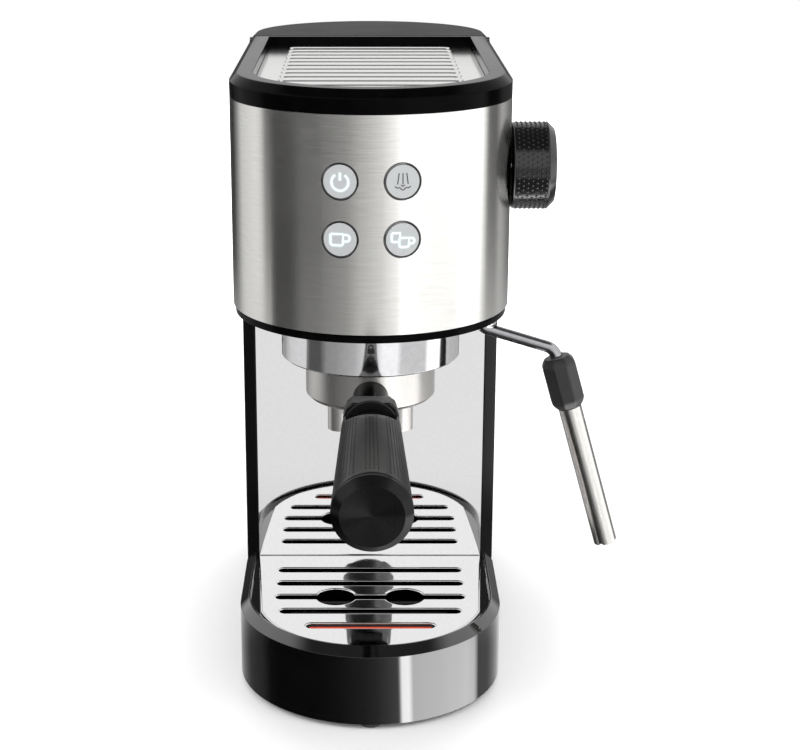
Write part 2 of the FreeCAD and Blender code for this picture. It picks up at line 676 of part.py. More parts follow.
def make_cup_warmer():
    """The steel plate on top, with rounded ridges across it."""
    low = "recess_floor"
    thick = "0.8"
    plate = arch_body("CupWarmer", "recess_half - fit_gap", "front_y", "bay_y - ring_bar - fit_gap",
                      low, thick)
    ridge_y = "ridge_start"
    sketch = sketch_in(plate, "YZ_Plane")
    rise = "ridge_rise"
    top = f"{low} + {thick}"
    corners = ((f"{ridge_y} - ridge_width / 2", f"{top} - 0.2"),
               (f"{ridge_y} - ridge_width / 2", f"{top} + 0.25"),
               (f"{ridge_y} - ridge_width / 3.2", f"{top} + {rise} * 0.8"),
               (f"{ridge_y} - ridge_width / 8", f"{top} + {rise}"),
               (f"{ridge_y} + ridge_width / 8", f"{top} + {rise}"),
               (f"{ridge_y} + ridge_width / 3.2", f"{top} + {rise} * 0.8"),
               (f"{ridge_y} + ridge_width / 2", f"{top} + 0.25"),
               (f"{ridge_y} + ridge_width / 2", f"{top} - 0.2"))
    polygon(sketch, corners)
    ridge = pad(plate, sketch, "ridge_half * 2", both_ways=True)
    rows = plate.newObject("PartDesign::LinearPattern", "ridges")
    rows.Originals = [ridge]
    rows.Direction = (sketch, ["H_Axis"])
    bind(rows, Length="ridge_span", Occurrences="ridge_count")
    plate.Tip = rows
    doc.recompute()
    done(plate, "cup_warmer_plate")


def make_buttons():
    """Four sprung buttons in their bezels, with a switch behind each on the board."""
    bezels = []
    switches = []
    depth = "bezel_depth + 4"
    for label, side, height in button_places():
        well = button_rod(side, height, "button_radius + fit_gap", "1", depth)
        bezels.append(cut(button_rod(side, height, "bezel_radius", "0.5", depth), well))
        cap = button_rod(side, height, "button_radius", "0.4", "bezel_depth + 1")
        done(join(cap, button_rod(side, height, "2", "-bezel_depth", "bezel_depth + 7.8")), label)
        x = f"{side} * button_spread * 0.79"
        switches.append(box(f"{x} - 3", f"{x} + 3", "board_y - 3.4", "board_y",
                            f"{height} - 3", f"{height} + 3"))
    done(join(*bezels), "button_bezels")
    done(join(*switches), "button_switches")
    lowest = "button_row_low - 14"
    board = box("-30", "30", "board_y", "board_y + 1.6", lowest, "button_row_top + 14")
    done(board, "control_board")


# ---------------------------------------------------------------- steam knob and valve


def make_knob():
    """The round steam knob and its spindle."""
    start = "half + 0.4"
    knob = turned("SteamKnob", (("spindle_radius", "0"), ("knob_radius", "0"),
                                ("knob_radius", "knob_length - knob_chamfer"),
                                ("knob_radius - knob_chamfer", "knob_length"),
                                ("0", "knob_length"), ("0", "knob_length - 5"),
                                ("spindle_radius", "knob_length - 5")))
    at(knob, start, "knob_y", "knob_height", TO_RIGHT)
    done(knob, "steam_knob")
    done(rod("X", "half - 26", "knob_y", "knob_height", "spindle_radius",
             "26 + 0.4 + knob_length - 5"), "valve_spindle")


def make_valve():
    """The brass steam valve that the spindle works."""
    half_width = "valve_width / 2"
    block = box("valve_x", "valve_x + valve_length", f"knob_y - {half_width}", f"knob_y + {half_width}",
                f"knob_height - {half_width}", f"knob_height + {half_width}")
    bore = rod("X", "half - 26", "knob_y", "knob_height", "spindle_radius + running_gap", "20")
    done(cut(block, bore), "steam_valve")


# ---------------------------------------------------------------- group and portafilter


def ear_pair(turn, radius, low, thick, width):
    """Two opposite lugs about the group's axis."""
    slab = doc.addObject("Part::Box", "ears")
    bind(slab, Length=f"2 * ({radius})", Width=width, Height=thick)
    spot = Rotation(Vector(0, 0, 1), turn).multVec(Vector(-mm(radius), -mm(width) / 2, 0))
    slab.Placement = Placement(Vector(0, mm("front_y"), mm(low)) + spot, Rotation(Vector(0, 0, 1), turn))
    return slab


def make_collar():
    """The chrome collar with the bayonet lip that the portafilter's lugs ride on."""
    collar = turned("Collar", (("cup_radius + 0.7", "lip_z"), ("collar_radius - 0.8", "lip_z"),
                               ("collar_radius", "lip_z + 0.8"), ("collar_radius", "head_floor"),
                               ("collar_bore", "head_floor"), ("collar_bore", "lip_z + collar_lip"),
                               ("cup_radius + 0.7", "lip_z + collar_lip")))
    at(collar, "0", "front_y", "0")
    ways = ear_pair(15, "ear_reach + 0.6", "lip_z - 0.5", "collar_lip + 1", "ear_width + 2")
    done(cut(collar, ways), "group_collar")


def make_group():
    """The group head, its gasket, the shower screen and the screen's screw."""
    gasket_out = "cup_radius - 0.5"
    gasket_in = "cup_radius - cup_wall - 4"
    head = turned("GroupHead", (("0", "gasket_z + gasket_thick - 0.6"),
                                (gasket_in, "gasket_z + gasket_thick - 0.6"),
                                (gasket_in, "gasket_z + gasket_thick"),
                                (gasket_out, "gasket_z + gasket_thick"),
                                (gasket_out, "gasket_z + 1"), ("collar_bore - 0.3", "gasket_z + 1"),
                                ("collar_bore - 0.3", "shell_low"), ("30", "shell_low"),
                                ("30", "shelf_height"), ("0", "shelf_height")))
    at(head, "0", "front_y", "0")
    done(head, "group_head")
    gasket = turned("Gasket", ((gasket_in, "gasket_z"), (gasket_out, "gasket_z"),
                               (gasket_out, "gasket_z + gasket_thick"),
                               (gasket_in, "gasket_z + gasket_thick")))
    at(gasket, "0", "front_y", "0")
    done(gasket, "group_gasket")
    screen = turned("Screen", (("2", "gasket_z + 1"), (f"{gasket_in} - 1.4", "gasket_z + 1"),
                               (f"{gasket_in} - 1.4", "gasket_z + gasket_thick - 0.6"),
                               (f"{gasket_in} - 2.4", "gasket_z + gasket_thick - 0.6"),
                               (f"{gasket_in} - 2.4", "gasket_z + 1.8"), ("2", "gasket_z + 1.8")))
    at(screen, "0", "front_y", "0")
    done(screen, "shower_screen")
    done(join(rod("Z", "0", "front_y", "gasket_z - 1", "4", "2"),
              rod("Z", "0", "front_y", "gasket_z + 1", "2", "gasket_thick - 1.6")), "screen_screw")


def make_cup():
    """The portafilter's cup, with its two lugs."""
    inner = "cup_radius - cup_wall"
    cup = turned("Cup", (("spout_bore", "cup_bottom"), ("cup_radius - 2.2", "cup_bottom"),
                         ("cup_radius", "cup_bottom + 2.2"), ("cup_radius", "cup_top"),
                         (inner, "cup_top"), (inner, "cup_bottom + 5"),
                         ("spout_bore", "cup_bottom + 4")))
    at(cup, "0", "front_y", "0")
    lug_z = "lip_z + collar_lip + fit_gap"
    lugs = overlap(ear_pair(90, "ear_reach + 2", lug_z, "ear_thick", "ear_width"),
                   rod("Z", "0", "front_y", lug_z, "ear_reach", "ear_thick"))
    hollow = rod("Z", "0", "front_y", "cup_bottom + 5", inner, "cup_top - cup_bottom")
    done(join(cup, cut(lugs, hollow)), "portafilter_cup")


def make_basket():
    """The filter basket and the wire that holds it in the cup."""
    wall = "basket_radius - basket_sheet"
    low = "cup_bottom + 7"
    top = "cup_top - 0.4"
    basket = turned("Basket", (("0", low), ("basket_radius - 4", low), ("basket_radius", f"{low} + 5"),
                               ("basket_radius", f"{top} - 0.1"), ("cup_radius - 3.2", f"{top} - 0.1"),
                               ("cup_radius - 3.2", top), (wall, top), (wall, f"{low} + 5"),
                               ("basket_radius - 4", f"{low} + basket_sheet"),
                               ("0", f"{low} + basket_sheet")))
    at(basket, "0", "front_y", "0")
    done(basket, "filter_basket")
    wire = doc.addObject("Part::Torus", "wire")
    bind(wire, Radius1="(basket_radius + cup_radius - cup_wall) / 2",
         Radius2="(cup_radius - cup_wall - basket_radius) / 2")
    at(wire, "0", "front_y", "cup_top - 8")
    done(wire, "basket_spring")


def make_spout():
    """The double spout under the cup."""
    low = "cup_bottom - spout_drop"
    reach = "spout_half - spout_radius"
    bridge_z = "cup_bottom - 9"
    parts = [box(f"-({reach})", reach, "front_y - spout_radius", "front_y + spout_radius",
                 bridge_z, "cup_bottom")]
    ways = [rod("Z", "0", "front_y", f"{bridge_z} + 3", "spout_bore", "6"),
            rod("X", f"-({reach})", "front_y", f"{bridge_z} + 4.5", "spout_bore - 1", f"2 * ({reach})")]
    for x in (f"-({reach})", reach):
        parts.append(rod("Z", x, "front_y", low, "spout_radius", "spout_drop"))
        ways.append(rod("Z", x, "front_y", low, "spout_bore", "spout_drop - 4"))
    done(cut(join(*parts), *ways), "portafilter_spout")


def handle_place(item, start):
    """Lays a piece turned about Z along the handle's own axis, from a distance out."""
    tilt = Rotation(Vector(1, 0, 0), mm("handle_tilt"))
    reach = tilt.multVec(Vector(0, -mm(start), 0))
    turn = tilt.multiply(Rotation(Vector(1, 0, 0), 90))
    item.Placement = Placement(Vector(0, mm("front_y"), mm("handle_height")) + reach, turn)
    return item


def make_handle():
    """Neck, grip, end cap and the bolt through them, with its boss against the cup."""
    bore = "bolt_radius"
    neck = doc.addObject("Part::Feature", "Neck")
    rings = []
    for reach, half_width in ((0, mm("neck_half")), (mm("neck_length"), mm("grip_small") - 0.8)):
        corner = half_width * math.tan(math.radians(22.5))
        spots = [(half_width, corner), (corner, half_width), (-corner, half_width),
                 (-half_width, corner), (-half_width, -corner), (-corner, -half_width),
                 (corner, -half_width), (half_width, -corner)]
        ring = [Vector(x, y, reach) for x, y in spots]
        rings.append(Part.makePolygon(ring + ring[:1]))
    solid = Part.makeLoft(rings, True, True)
    neck.Shape = solid.cut(Part.makeCylinder(mm(bore), mm("neck_length")))
    done(handle_place(neck, "neck_start"), "handle_neck")
    far = "grip_length"
    grip = turned("Grip", ((bore, "0"), ("grip_small - 2", "0"), ("grip_small", "2"),
                           ("grip_large", far), (bore, far)))
    done(handle_place(grip, "neck_start + neck_length"), "handle_grip")
    cap = turned("Cap", (("0", "0"), ("grip_large", "0"), ("grip_large", "cap_length - cap_chamfer"),
                         ("grip_large - cap_chamfer", "cap_length"), ("0", "cap_length - 0.8")))
    done(handle_place(cap, "neck_start + neck_length + grip_length"), "handle_end_cap")
    bolt_end = "neck_gap + neck_length + grip_length + boss_sink"
    boss_end = "neck_gap + boss_sink"
    bolt = turned("Bolt", (("0", "0"), ("boss_radius", "0"), ("boss_radius", boss_end),
                           (bore, boss_end), (bore, bolt_end), ("0", bolt_end)))
    cup_space = rod("Z", "0", "front_y", "cup_bottom - 5", "cup_radius", "cup_height + 10")
    done(cut(handle_place(bolt, "cup_radius - boss_sink"), cup_space), "handle_bolt")


# ---------------------------------------------------------------- steam wand


def wand_route():
    """The corners of the pipe's route, from the ball down to the end of the pipe."""
    slope = math.radians(mm("arm_slope"))
    lean = math.radians(mm("wand_lean"))
    top = Vector(mm("wand_x"), mm("wand_y"), mm("head_floor"))
    drop = top - Vector(0, 0, mm("wand_drop"))
    bend = drop + Vector(mm("arm_reach"), 0, -mm("arm_reach") * math.tan(slope))
    along = Vector(math.sin(lean), 0, -math.cos(lean))
    return top, drop, bend, along


def rounded_pipe(points, radii, radius):
    """A round bar along straight runs joined by tangent arcs."""
    edges = []
    start = points[0]
    for before, corner, after, bend in zip(points, points[1:], points[2:], radii):
        arrive = (corner - before).normalize()
        leave = (after - corner).normalize()
        turn = arrive.getAngle(leave)
        run = bend * math.tan(turn / 2)
        entry = corner - arrive * run
        exit_point = corner + leave * run
        inward = (leave - arrive).normalize()
        middle = corner + inward * (math.hypot(bend, run) - bend)
        edges.append(Part.makeLine(start, entry))
        edges.append(Part.Arc(entry, middle, exit_point).toShape())
        start = exit_point
    edges.append(Part.makeLine(start, points[-1]))
    circle = Part.Wire(Part.makeCircle(radius, points[0], points[1] - points[0]))
    return Part.Wire(edges).makePipeShell([circle], True, False)


def leaning(item, start):
    """Lays a piece turned about Z along the lower wand, from a distance past the bend."""
    _, _, bend, along = wand_route()
    turn = Rotation(Vector(0, 0, 1), along)
    item.Placement = Placement(bend + along * mm(start), turn)
    return item


def side_bore(start, swing, radius, near, length):
    """A bar across the lower wand, at a distance past the bend and an angle about it, to cut with."""
    _, _, bend, along = wand_route()
    bar = doc.addObject("Part::Cylinder", "side_bore")
    bind(bar, Radius=radius, Height=length)
    across = Rotation(Vector(0, 0, 1), swing).multiply(TO_RIGHT)
    turn = Rotation(Vector(0, 0, 1), along).multiply(across)
    bar.Placement = Placement(bend + along * mm(start) + turn.multVec(Vector(0, 0, mm(near))), turn)
    return bar


def make_wand():
    """The steam pipe with its ball, the nut that holds it, the grip and the sleeve."""
    top, drop, bend, along = wand_route()
    grip_start = "wand_bend * 0.543"
    end = bend + along * mm(f"{grip_start} + wand_grip_length + sleeve_length - pipe_end_inset")
    radii = (mm("arm_bend"), mm("wand_bend"))
    outer = rounded_pipe((top, drop, bend, end), radii, mm("pipe_radius"))
    inner = rounded_pipe((top + Vector(0, 0, 6), drop, bend, end + along * 6), radii, mm("pipe_bore"))
    centre = top - Vector(0, 0, 1)
    globe = Part.makeSphere(mm("ball_radius"), centre)
    pipe = doc.addObject("Part::Feature", "Pipe")
    pipe.Shape = outer.fuse(globe).cut(inner)
    done(pipe, "steam_pipe")
    nut = cut(rod("Z", "wand_x", "wand_y", "head_floor - nut_height", "nut_radius", "nut_height"),
              ball("wand_x", "wand_y", "head_floor - 1", "ball_radius + fit_gap"),
              rod("Z", "wand_x", "wand_y", "head_floor - 7", "pipe_radius + 1", "7"))
    done(nut, "wand_nut")
    bore = "pipe_radius"
    body = turned("WandGrip", ((bore, "0"), ("wand_grip_radius - 2.4", "0"), ("wand_grip_radius", "3"),
                               ("wand_grip_radius", "wand_grip_length - 3"),
                               ("wand_grip_radius - 2.4", "wand_grip_length"),
                               (bore, "wand_grip_length")))
    done(leaning(body, grip_start), "wand_grip")
    sleeve = turned("Sleeve", (("sleeve_bore", "0"), ("sleeve_radius", "0"),
                               ("sleeve_radius", "sleeve_length - 0.6"),
                               ("sleeve_radius - 0.6", "sleeve_length"),
                               ("sleeve_bore", "sleeve_length")))
    sleeve_start = f"{grip_start} + wand_grip_length + fit_gap"
    leaning(sleeve, sleeve_start)
    tip = f"{sleeve_start} + sleeve_length"
    notches = [side_bore(tip, swing, "tip_notch", "-sleeve_radius - 1", "2 * sleeve_radius + 2")
               for swing in (30, 120)]
    air_hole = side_bore(f"{sleeve_start} + 7", 200, "air_hole", "0", "sleeve_radius + 1")
    done(cut(sleeve, air_hole, *notches), "frother_sleeve")


# ---------------------------------------------------------------- water tank


def make_tank():
    """The tank, open at the top, with its valve boss and the ears of the lid's pin."""
    low = "cradle_top + fit_gap"
    tank = arch_body("Tank", "half", "rear_y", "tank_y", low, f"tank_top - ({low})")
    arch_pocket(tank, "half - tank_sheet", "rear_y", "tank_y + tank_sheet", "tank_top",
                f"tank_top - ({low}) - tank_sheet")
    boss = rod("Z", "0", "rear_y", f"{low} - boss_drop", "boss_radius", "boss_drop + tank_sheet")
    bore = rod("Z", "0", "rear_y", f"{low} - boss_drop", "boss_radius - 2.5", "boss_drop + tank_sheet")
    ears = []
    for x in ("half - 3.2", "0.4 - half"):
        ears.append(box(x, f"{x} + 2.8", "hinge_y - 1.6", "hinge_y + 1.6", "tank_top - 4", "hinge_z"))
        ears.append(rod("X", x, "hinge_y", "hinge_z", "1.6", "2.8"))
    pin = rod("X", "0.4 - half", "hinge_y", "hinge_z", "pin_radius", "body_width - 0.8")
    done(cut(join(tank, boss, *ears), bore, pin), "water_tank")
    done(rod("X", "0.5 - half", "hinge_y", "hinge_z", "pin_radius", "body_width - 1"), "lid_hinge_pin")


def make_tank_valve():
    """The plunger, its spring and the seal in the tank's boss, and the socket under it."""
    low = "boss_low"
    done(join(rod("Z", "0", "rear_y", f"{low} + 1", "2", "12"),
              rod("Z", "0", "rear_y", f"{low} + 9", "boss_radius - 3", "2")), "tank_valve")
    spring = tube("Z", "0", "rear_y", f"{low} + 1.2", "3.6", "2.4", "7.6")
    done(spring, "tank_valve_spring")
    seal = doc.addObject("Part::Torus", "seal")
    bind(seal, Radius1="boss_radius + 0.9", Radius2="0.9")
    at(seal, "0", "rear_y", f"{low} + 4")
    done(seal, "tank_seal")
    foot = "cradle_top - plastic_wall"
    socket = join(tube("Z", "0", "rear_y", f"{low} - 4", "boss_radius + 4.5", "boss_radius + 2.1",
                       f"{foot} - ({low}) + 4"),
                  rod("Z", "0", "rear_y", f"{low} - 4", "boss_radius + 4.5", "3"))
    done(cut(socket, rod("Z", "0", "rear_y", f"{low} - 4", "2", "3")), "tank_coupler")


def make_lid():
    """The hinged lid of the tank, with its rounded nose about the pin."""
    low = "tank_top + fit_gap"
    front = "hinge_y + 2"
    lid = arch_body("Lid", "half", "rear_y", front, low, f"body_height - ({low})")
    chamfer(lid, "lid_chamfer", outer_edge_at("body_height", front))
    arch_pocket(lid, "half - lid_skirt", "rear_y", f"{front} + lid_skirt", "body_height - lid_thick",
                f"body_height - lid_thick - ({low})")
    half_nose = "half - lid_chamfer"
    nose = rod("X", f"-({half_nose})", "hinge_y", "hinge_z", "hinge_radius", f"2 * ({half_nose})")
    web = box(f"-({half_nose})", half_nose, "hinge_y", front, "hinge_z - 1", "body_height")
    bore = rod("X", "-half", "hinge_y", "hinge_z", "pin_radius + running_gap", "body_width")
    done(cut(join(lid, nose, web), bore), "tank_lid")


# ---------------------------------------------------------------- works inside


def make_works():
    """Pump, boiler block, solenoid valve, flow meter, terminal block and hoses."""
    pump_z = "pump_height"
    done(join(rod("Z", "-pump_x", "pump_y", pump_z, "pump_radius", "pump_length"),
              rod("Z", "-pump_x", "pump_y", f"{pump_z} - 22", "7", "22"),
              rod("Z", "-pump_x", "pump_y", f"{pump_z} + pump_length", "6", "16")), "pump")
    low_mount = tube("Z", "-pump_x", "pump_y", f"{pump_z} - 8", "16", "7", "8")
    high_mount = tube("Z", "-pump_x", "pump_y", f"{pump_z} + pump_length", "16", "6", "8")
    done(join(low_mount, high_mount), "pump_mounts")
    block_z = "shelf_top"
    done(box("-block_width / 2", "block_width / 2", "block_back - block_length", "block_back",
             block_z, f"{block_z} + block_height"), "boiler_block")
    top = f"{block_z} + block_height"
    done(box("-12", "12", "block_back - 58", "block_back - 28", top, f"{top} + 6"), "thermal_fuse")
    done(join(box("-16", "16", "pump_y + 2", "pump_y + 32", block_z, f"{block_z} + 26"),
              rod("Z", "0", "pump_y + 17", f"{block_z} + 26", "9", "12")), "solenoid_valve")
    done(join(rod("Z", "pump_x", "pump_y - 2", "base_top + chassis_sheet", "15", "18"),
              rod("Z", "pump_x", "pump_y - 2", "base_top + chassis_sheet + 18", "5", "6")), "flow_meter")
    foot_z = "base_top + chassis_sheet"
    done(box("14", "40", "pump_y + 16", "pump_y + 34", foot_z, f"{foot_z} + 16"), "mains_terminal")


def make_brackets():
    """The brackets that carry the pump, the control board and the steam valve."""
    back = "chassis_back - chassis_sheet"
    parts = []
    for z in ("pump_height - 11", "pump_height + pump_length + 8"):
        arm = box("-pump_x - 14", "-pump_x + 14", "pump_y - 16", back, z, f"{z} + 3")
        parts.append(cut(arm, rod("Z", "-pump_x", "pump_y", z, "8", "3")))
    for x in ("-29", "23"):
        parts.append(box(x, f"{x} + 6", "board_y + 1.6", "front_y - 30", "shelf_top",
                         "button_row_low"))
    parts.append(box("valve_x", "valve_x + 14", "knob_y - 10", "knob_y + 5", "shelf_top",
                     "knob_height - valve_width / 2"))
    done(join(*parts), "works_brackets")


def make_hoses():
    """The silicone hoses: tank to pump, and pump to boiler block."""
    inlet_z = mm("hose_height")
    pump_x = -mm("pump_x")
    pump_y = mm("pump_y")
    low = mm("boss_low - 4")
    suction = (Vector(0, mm("rear_y"), low), Vector(0, mm("rear_y"), inlet_z),
               Vector(pump_x, mm("rear_y") - 14, inlet_z), Vector(pump_x, pump_y, inlet_z),
               Vector(pump_x, pump_y, mm("pump_height") - 22))
    radius = mm("hose_radius")
    outlet = mm("pump_height + pump_length + 16")
    block_z = mm("shelf_top")
    feed = (Vector(pump_x, pump_y, outlet), Vector(pump_x, pump_y, block_z + 18),
            Vector(pump_x, mm("block_back"), block_z + 18))
    hoses = [rounded_pipe(suction, (3.6, 12, 12, 7), radius), rounded_pipe(feed, (8,), radius)]
    group = doc.addObject("Part::Feature", "Hoses")
    group.Shape = Part.makeCompound(hoses)
    done(group, "water_hoses")


def build():
    """Makes every sub-part."""
    for step in (make_base_plate, make_feet, make_base_screws, make_drip_tray, make_drip_grid,
                 make_float, make_column, make_front_panel, make_bay_wall, make_cradle, make_gland,
                 make_chassis, make_head_shell, make_trim, make_top_ring, make_cup_warmer,
                 make_buttons, make_knob, make_valve, make_collar, make_group, make_cup,
                 make_basket, make_spout, make_handle, make_wand, make_tank, make_tank_valve,
                 make_lid, make_works, make_brackets, make_hoses):
        step()
    doc.recompute()


def check():
    """Stops if anything failed to compute."""
    for item in doc.Objects:
        if {"Invalid", "Error"} & set(item.State):
            raise RuntimeError(f"{item.Name} ({item.Label}) failed: {item.State}")
    for item in finished:
        if item.Shape.isNull() or not item.Shape.isValid() or not item.Shape.Solids:
            raise RuntimeError(item.Label + " has no valid solid")


def write():
    """Writes one file for each sub-part."""
    os.makedirs("parts", exist_ok=True)
    for item in finished:
        item.Shape.exportStep(os.path.join("parts", item.Label + ".step"))
        print(f"{item.Label}: {len(item.Shape.Solids)} solid(s), {item.Shape.Volume:.0f} mm3")


build()
check()
write()
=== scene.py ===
"""Looks of the slim espresso machine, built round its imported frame.

Lengths in the classes are millimetres and are turned to metres where a mesh is made.
"""
from __future__ import annotations

import json
import logging
import math
from dataclasses import dataclass, field
from enum import Enum
from typing import Callable, Iterable, Sequence

import bpy
from mathutils import Matrix, Vector


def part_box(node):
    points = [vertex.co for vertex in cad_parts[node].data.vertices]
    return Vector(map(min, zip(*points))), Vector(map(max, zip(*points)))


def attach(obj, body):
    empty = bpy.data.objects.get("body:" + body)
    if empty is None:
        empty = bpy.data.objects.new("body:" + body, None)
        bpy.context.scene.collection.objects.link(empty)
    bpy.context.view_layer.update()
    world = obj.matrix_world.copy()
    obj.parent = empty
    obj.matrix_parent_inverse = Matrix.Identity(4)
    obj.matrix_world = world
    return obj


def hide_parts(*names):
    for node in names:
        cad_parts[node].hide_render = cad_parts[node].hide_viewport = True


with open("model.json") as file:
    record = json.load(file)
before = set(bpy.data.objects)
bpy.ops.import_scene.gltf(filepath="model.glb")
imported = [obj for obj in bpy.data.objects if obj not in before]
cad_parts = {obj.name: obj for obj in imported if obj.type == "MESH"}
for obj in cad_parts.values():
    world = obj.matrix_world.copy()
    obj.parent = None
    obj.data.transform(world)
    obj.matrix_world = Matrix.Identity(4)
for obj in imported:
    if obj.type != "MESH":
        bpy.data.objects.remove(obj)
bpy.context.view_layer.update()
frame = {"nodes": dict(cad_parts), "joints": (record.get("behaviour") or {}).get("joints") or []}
MM = 0.001
FULL_TURN = 2 * math.pi
# Divisions of a turn, for turned pieces and long arcs.
TURN_STEPS = 96
# A stud's foot, how far it is sunk, and half its top as a share of its foot's side.
STUD_SQUARE = [(-1, -1), (1, -1), (1, 1), (-1, 1)]
STUD_SINK = 0.15
STUD_TOP = 0.33
# Nearly all of a finish's marks lie between these values of their pattern.
MARKS_FROM, MARKS_TO = 0.3, 0.7
log = logging.getLogger("espresso_machine")

Point = tuple[float, float, float]
Face = tuple[int, ...]
Stroke = list[tuple[float, float]]
# Bearings in degrees to the right of the front, rising, each with its brightness.
Walls = tuple[tuple[float, float], ...]
# Puts a point of a flat piece's own plane, and how far out of it, in the row frame.
Lay = Callable[[float, float, float], Sequence[float]]


# ------------------------------------------------------------------ small tools


def linear(code: str) -> tuple[float, float, float, float]:
    """Turns an sRGB hex value to a linear colour.

    Args:
        code: Six hex digits.

    Returns:
        Linear red, green and blue, and an alpha of one.
    """
    shares = [int(code[place:place + 2], 16) / 255 for place in (0, 2, 4)]
    red, green, blue = (s / 12.92 if s <= 0.04045 else ((s + 0.055) / 1.055) ** 2.4 for s in shares)
    return red, green, blue, 1.0


def add_node(tree: bpy.types.NodeTree, kind: str, settings: dict[str, object] | None = None,
             *values: object, **named: object) -> bpy.types.Node:
    """Adds a node with its settings, and sets or links its sockets.

    Args:
        tree: The tree that gets the node.
        kind: The node's type, without its ShaderNode prefix.
        settings: Properties of the node itself.
        values: Values or other nodes' outputs for its first sockets in turn, None to leave one.
        named: The same for sockets by name, with _ for a space.

    Returns:
        The new node.
    """
    node = tree.nodes.new("ShaderNode" + kind)
    for name, value in (settings or {}).items():
        setattr(node, name, value)
    asked = [(node.inputs[place], value) for place, value in enumerate(values) if value is not None]
    asked += [(node.inputs[name.replace("_", " ")], value) for name, value in named.items()]
    for socket, value in asked:
        if isinstance(value, bpy.types.NodeSocket):
            tree.links.new(value, socket)
        else:
            socket.default_value = value
    return node


def set_ramp(node: bpy.types.Node, stops: Sequence[tuple[float, tuple[float, ...]]]) -> None:
    """Gives a colour ramp its stops.

    Args:
        node: The ramp.
        stops: Places from 0 to 1 in rising order, each with its linear colour.
    """
    elements = node.color_ramp.elements
    while len(elements) < len(stops):
        elements.new(0.5)
    for element, (place, colour) in zip(elements, stops):
        element.position = place
        element.color = colour


def add_object(name: str, data: bpy.types.ID) -> bpy.types.Object:
    """Puts a new object with its data in the scene."""
    added = bpy.data.objects.new(name, data)
    bpy.context.scene.collection.objects.link(added)
    return added


def object_place(tree: bpy.types.NodeTree) -> bpy.types.NodeSocket:
    """Adds the place on the object, in metres."""
    return add_node(tree, "TexCoord").outputs["Object"]


def node_box(name: str) -> tuple[Vector, Vector]:
    """Gives the lowest and highest corner of a node, in millimetres."""
    low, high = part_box(name)
    return low / MM, high / MM


def mesh_piece(name: str, points: Iterable[Sequence[float]], faces: Iterable[Face],
               smooth: bool = True) -> bpy.types.Object:
    """Makes a mesh object from points in millimetres in the row frame.

    Args:
        name: The piece's name.
        points: The mesh's points.
        faces: The mesh's faces, as indices of points.
        smooth: Whether its faces are shaded smooth.

    Returns:
        The object, already in the scene.
    """
    mesh = bpy.data.meshes.new(name)
    mesh.from_pydata([Vector(p) * MM for p in points], [], list(faces))
    mesh.validate()
    mesh.polygons.foreach_set("use_smooth", [smooth] * len(mesh.polygons))
    mesh.update()
    return add_object(name, mesh)


def axis_place(start: Sequence[float], direction: Sequence[float]) -> Matrix:
    """Gives the matrix that lays a piece's own Z along a direction, from a start."""
    turn = Vector(direction).to_track_quat("Z", "Y").to_matrix().to_4x4()
    return Matrix.Translation(Vector(start)) @ turn


def cone_place(angle: float, radius: float, reach: float, slope: float = 0.0) -> Matrix:
    """Gives the matrix that lays a small piece on a cone, with its own Z outward.

    Args:
        angle: Angle round the cone, in radians.
        radius: The cone's radius there.
        reach: Distance along it.
        slope: How much its radius grows along it.

    Returns:
        The matrix, in the cone's own frame.
    """
    out = Vector((math.cos(angle), math.sin(angle), 0))
    normal = (out - Vector((0, 0, slope))).normalized()
    side = Vector((0, 0, 1)).cross(normal).normalized()
    turn = Matrix((side, normal.cross(side), normal)).transposed().to_4x4()
    return Matrix.Translation(out * radius + Vector((0, 0, reach))) @ turn


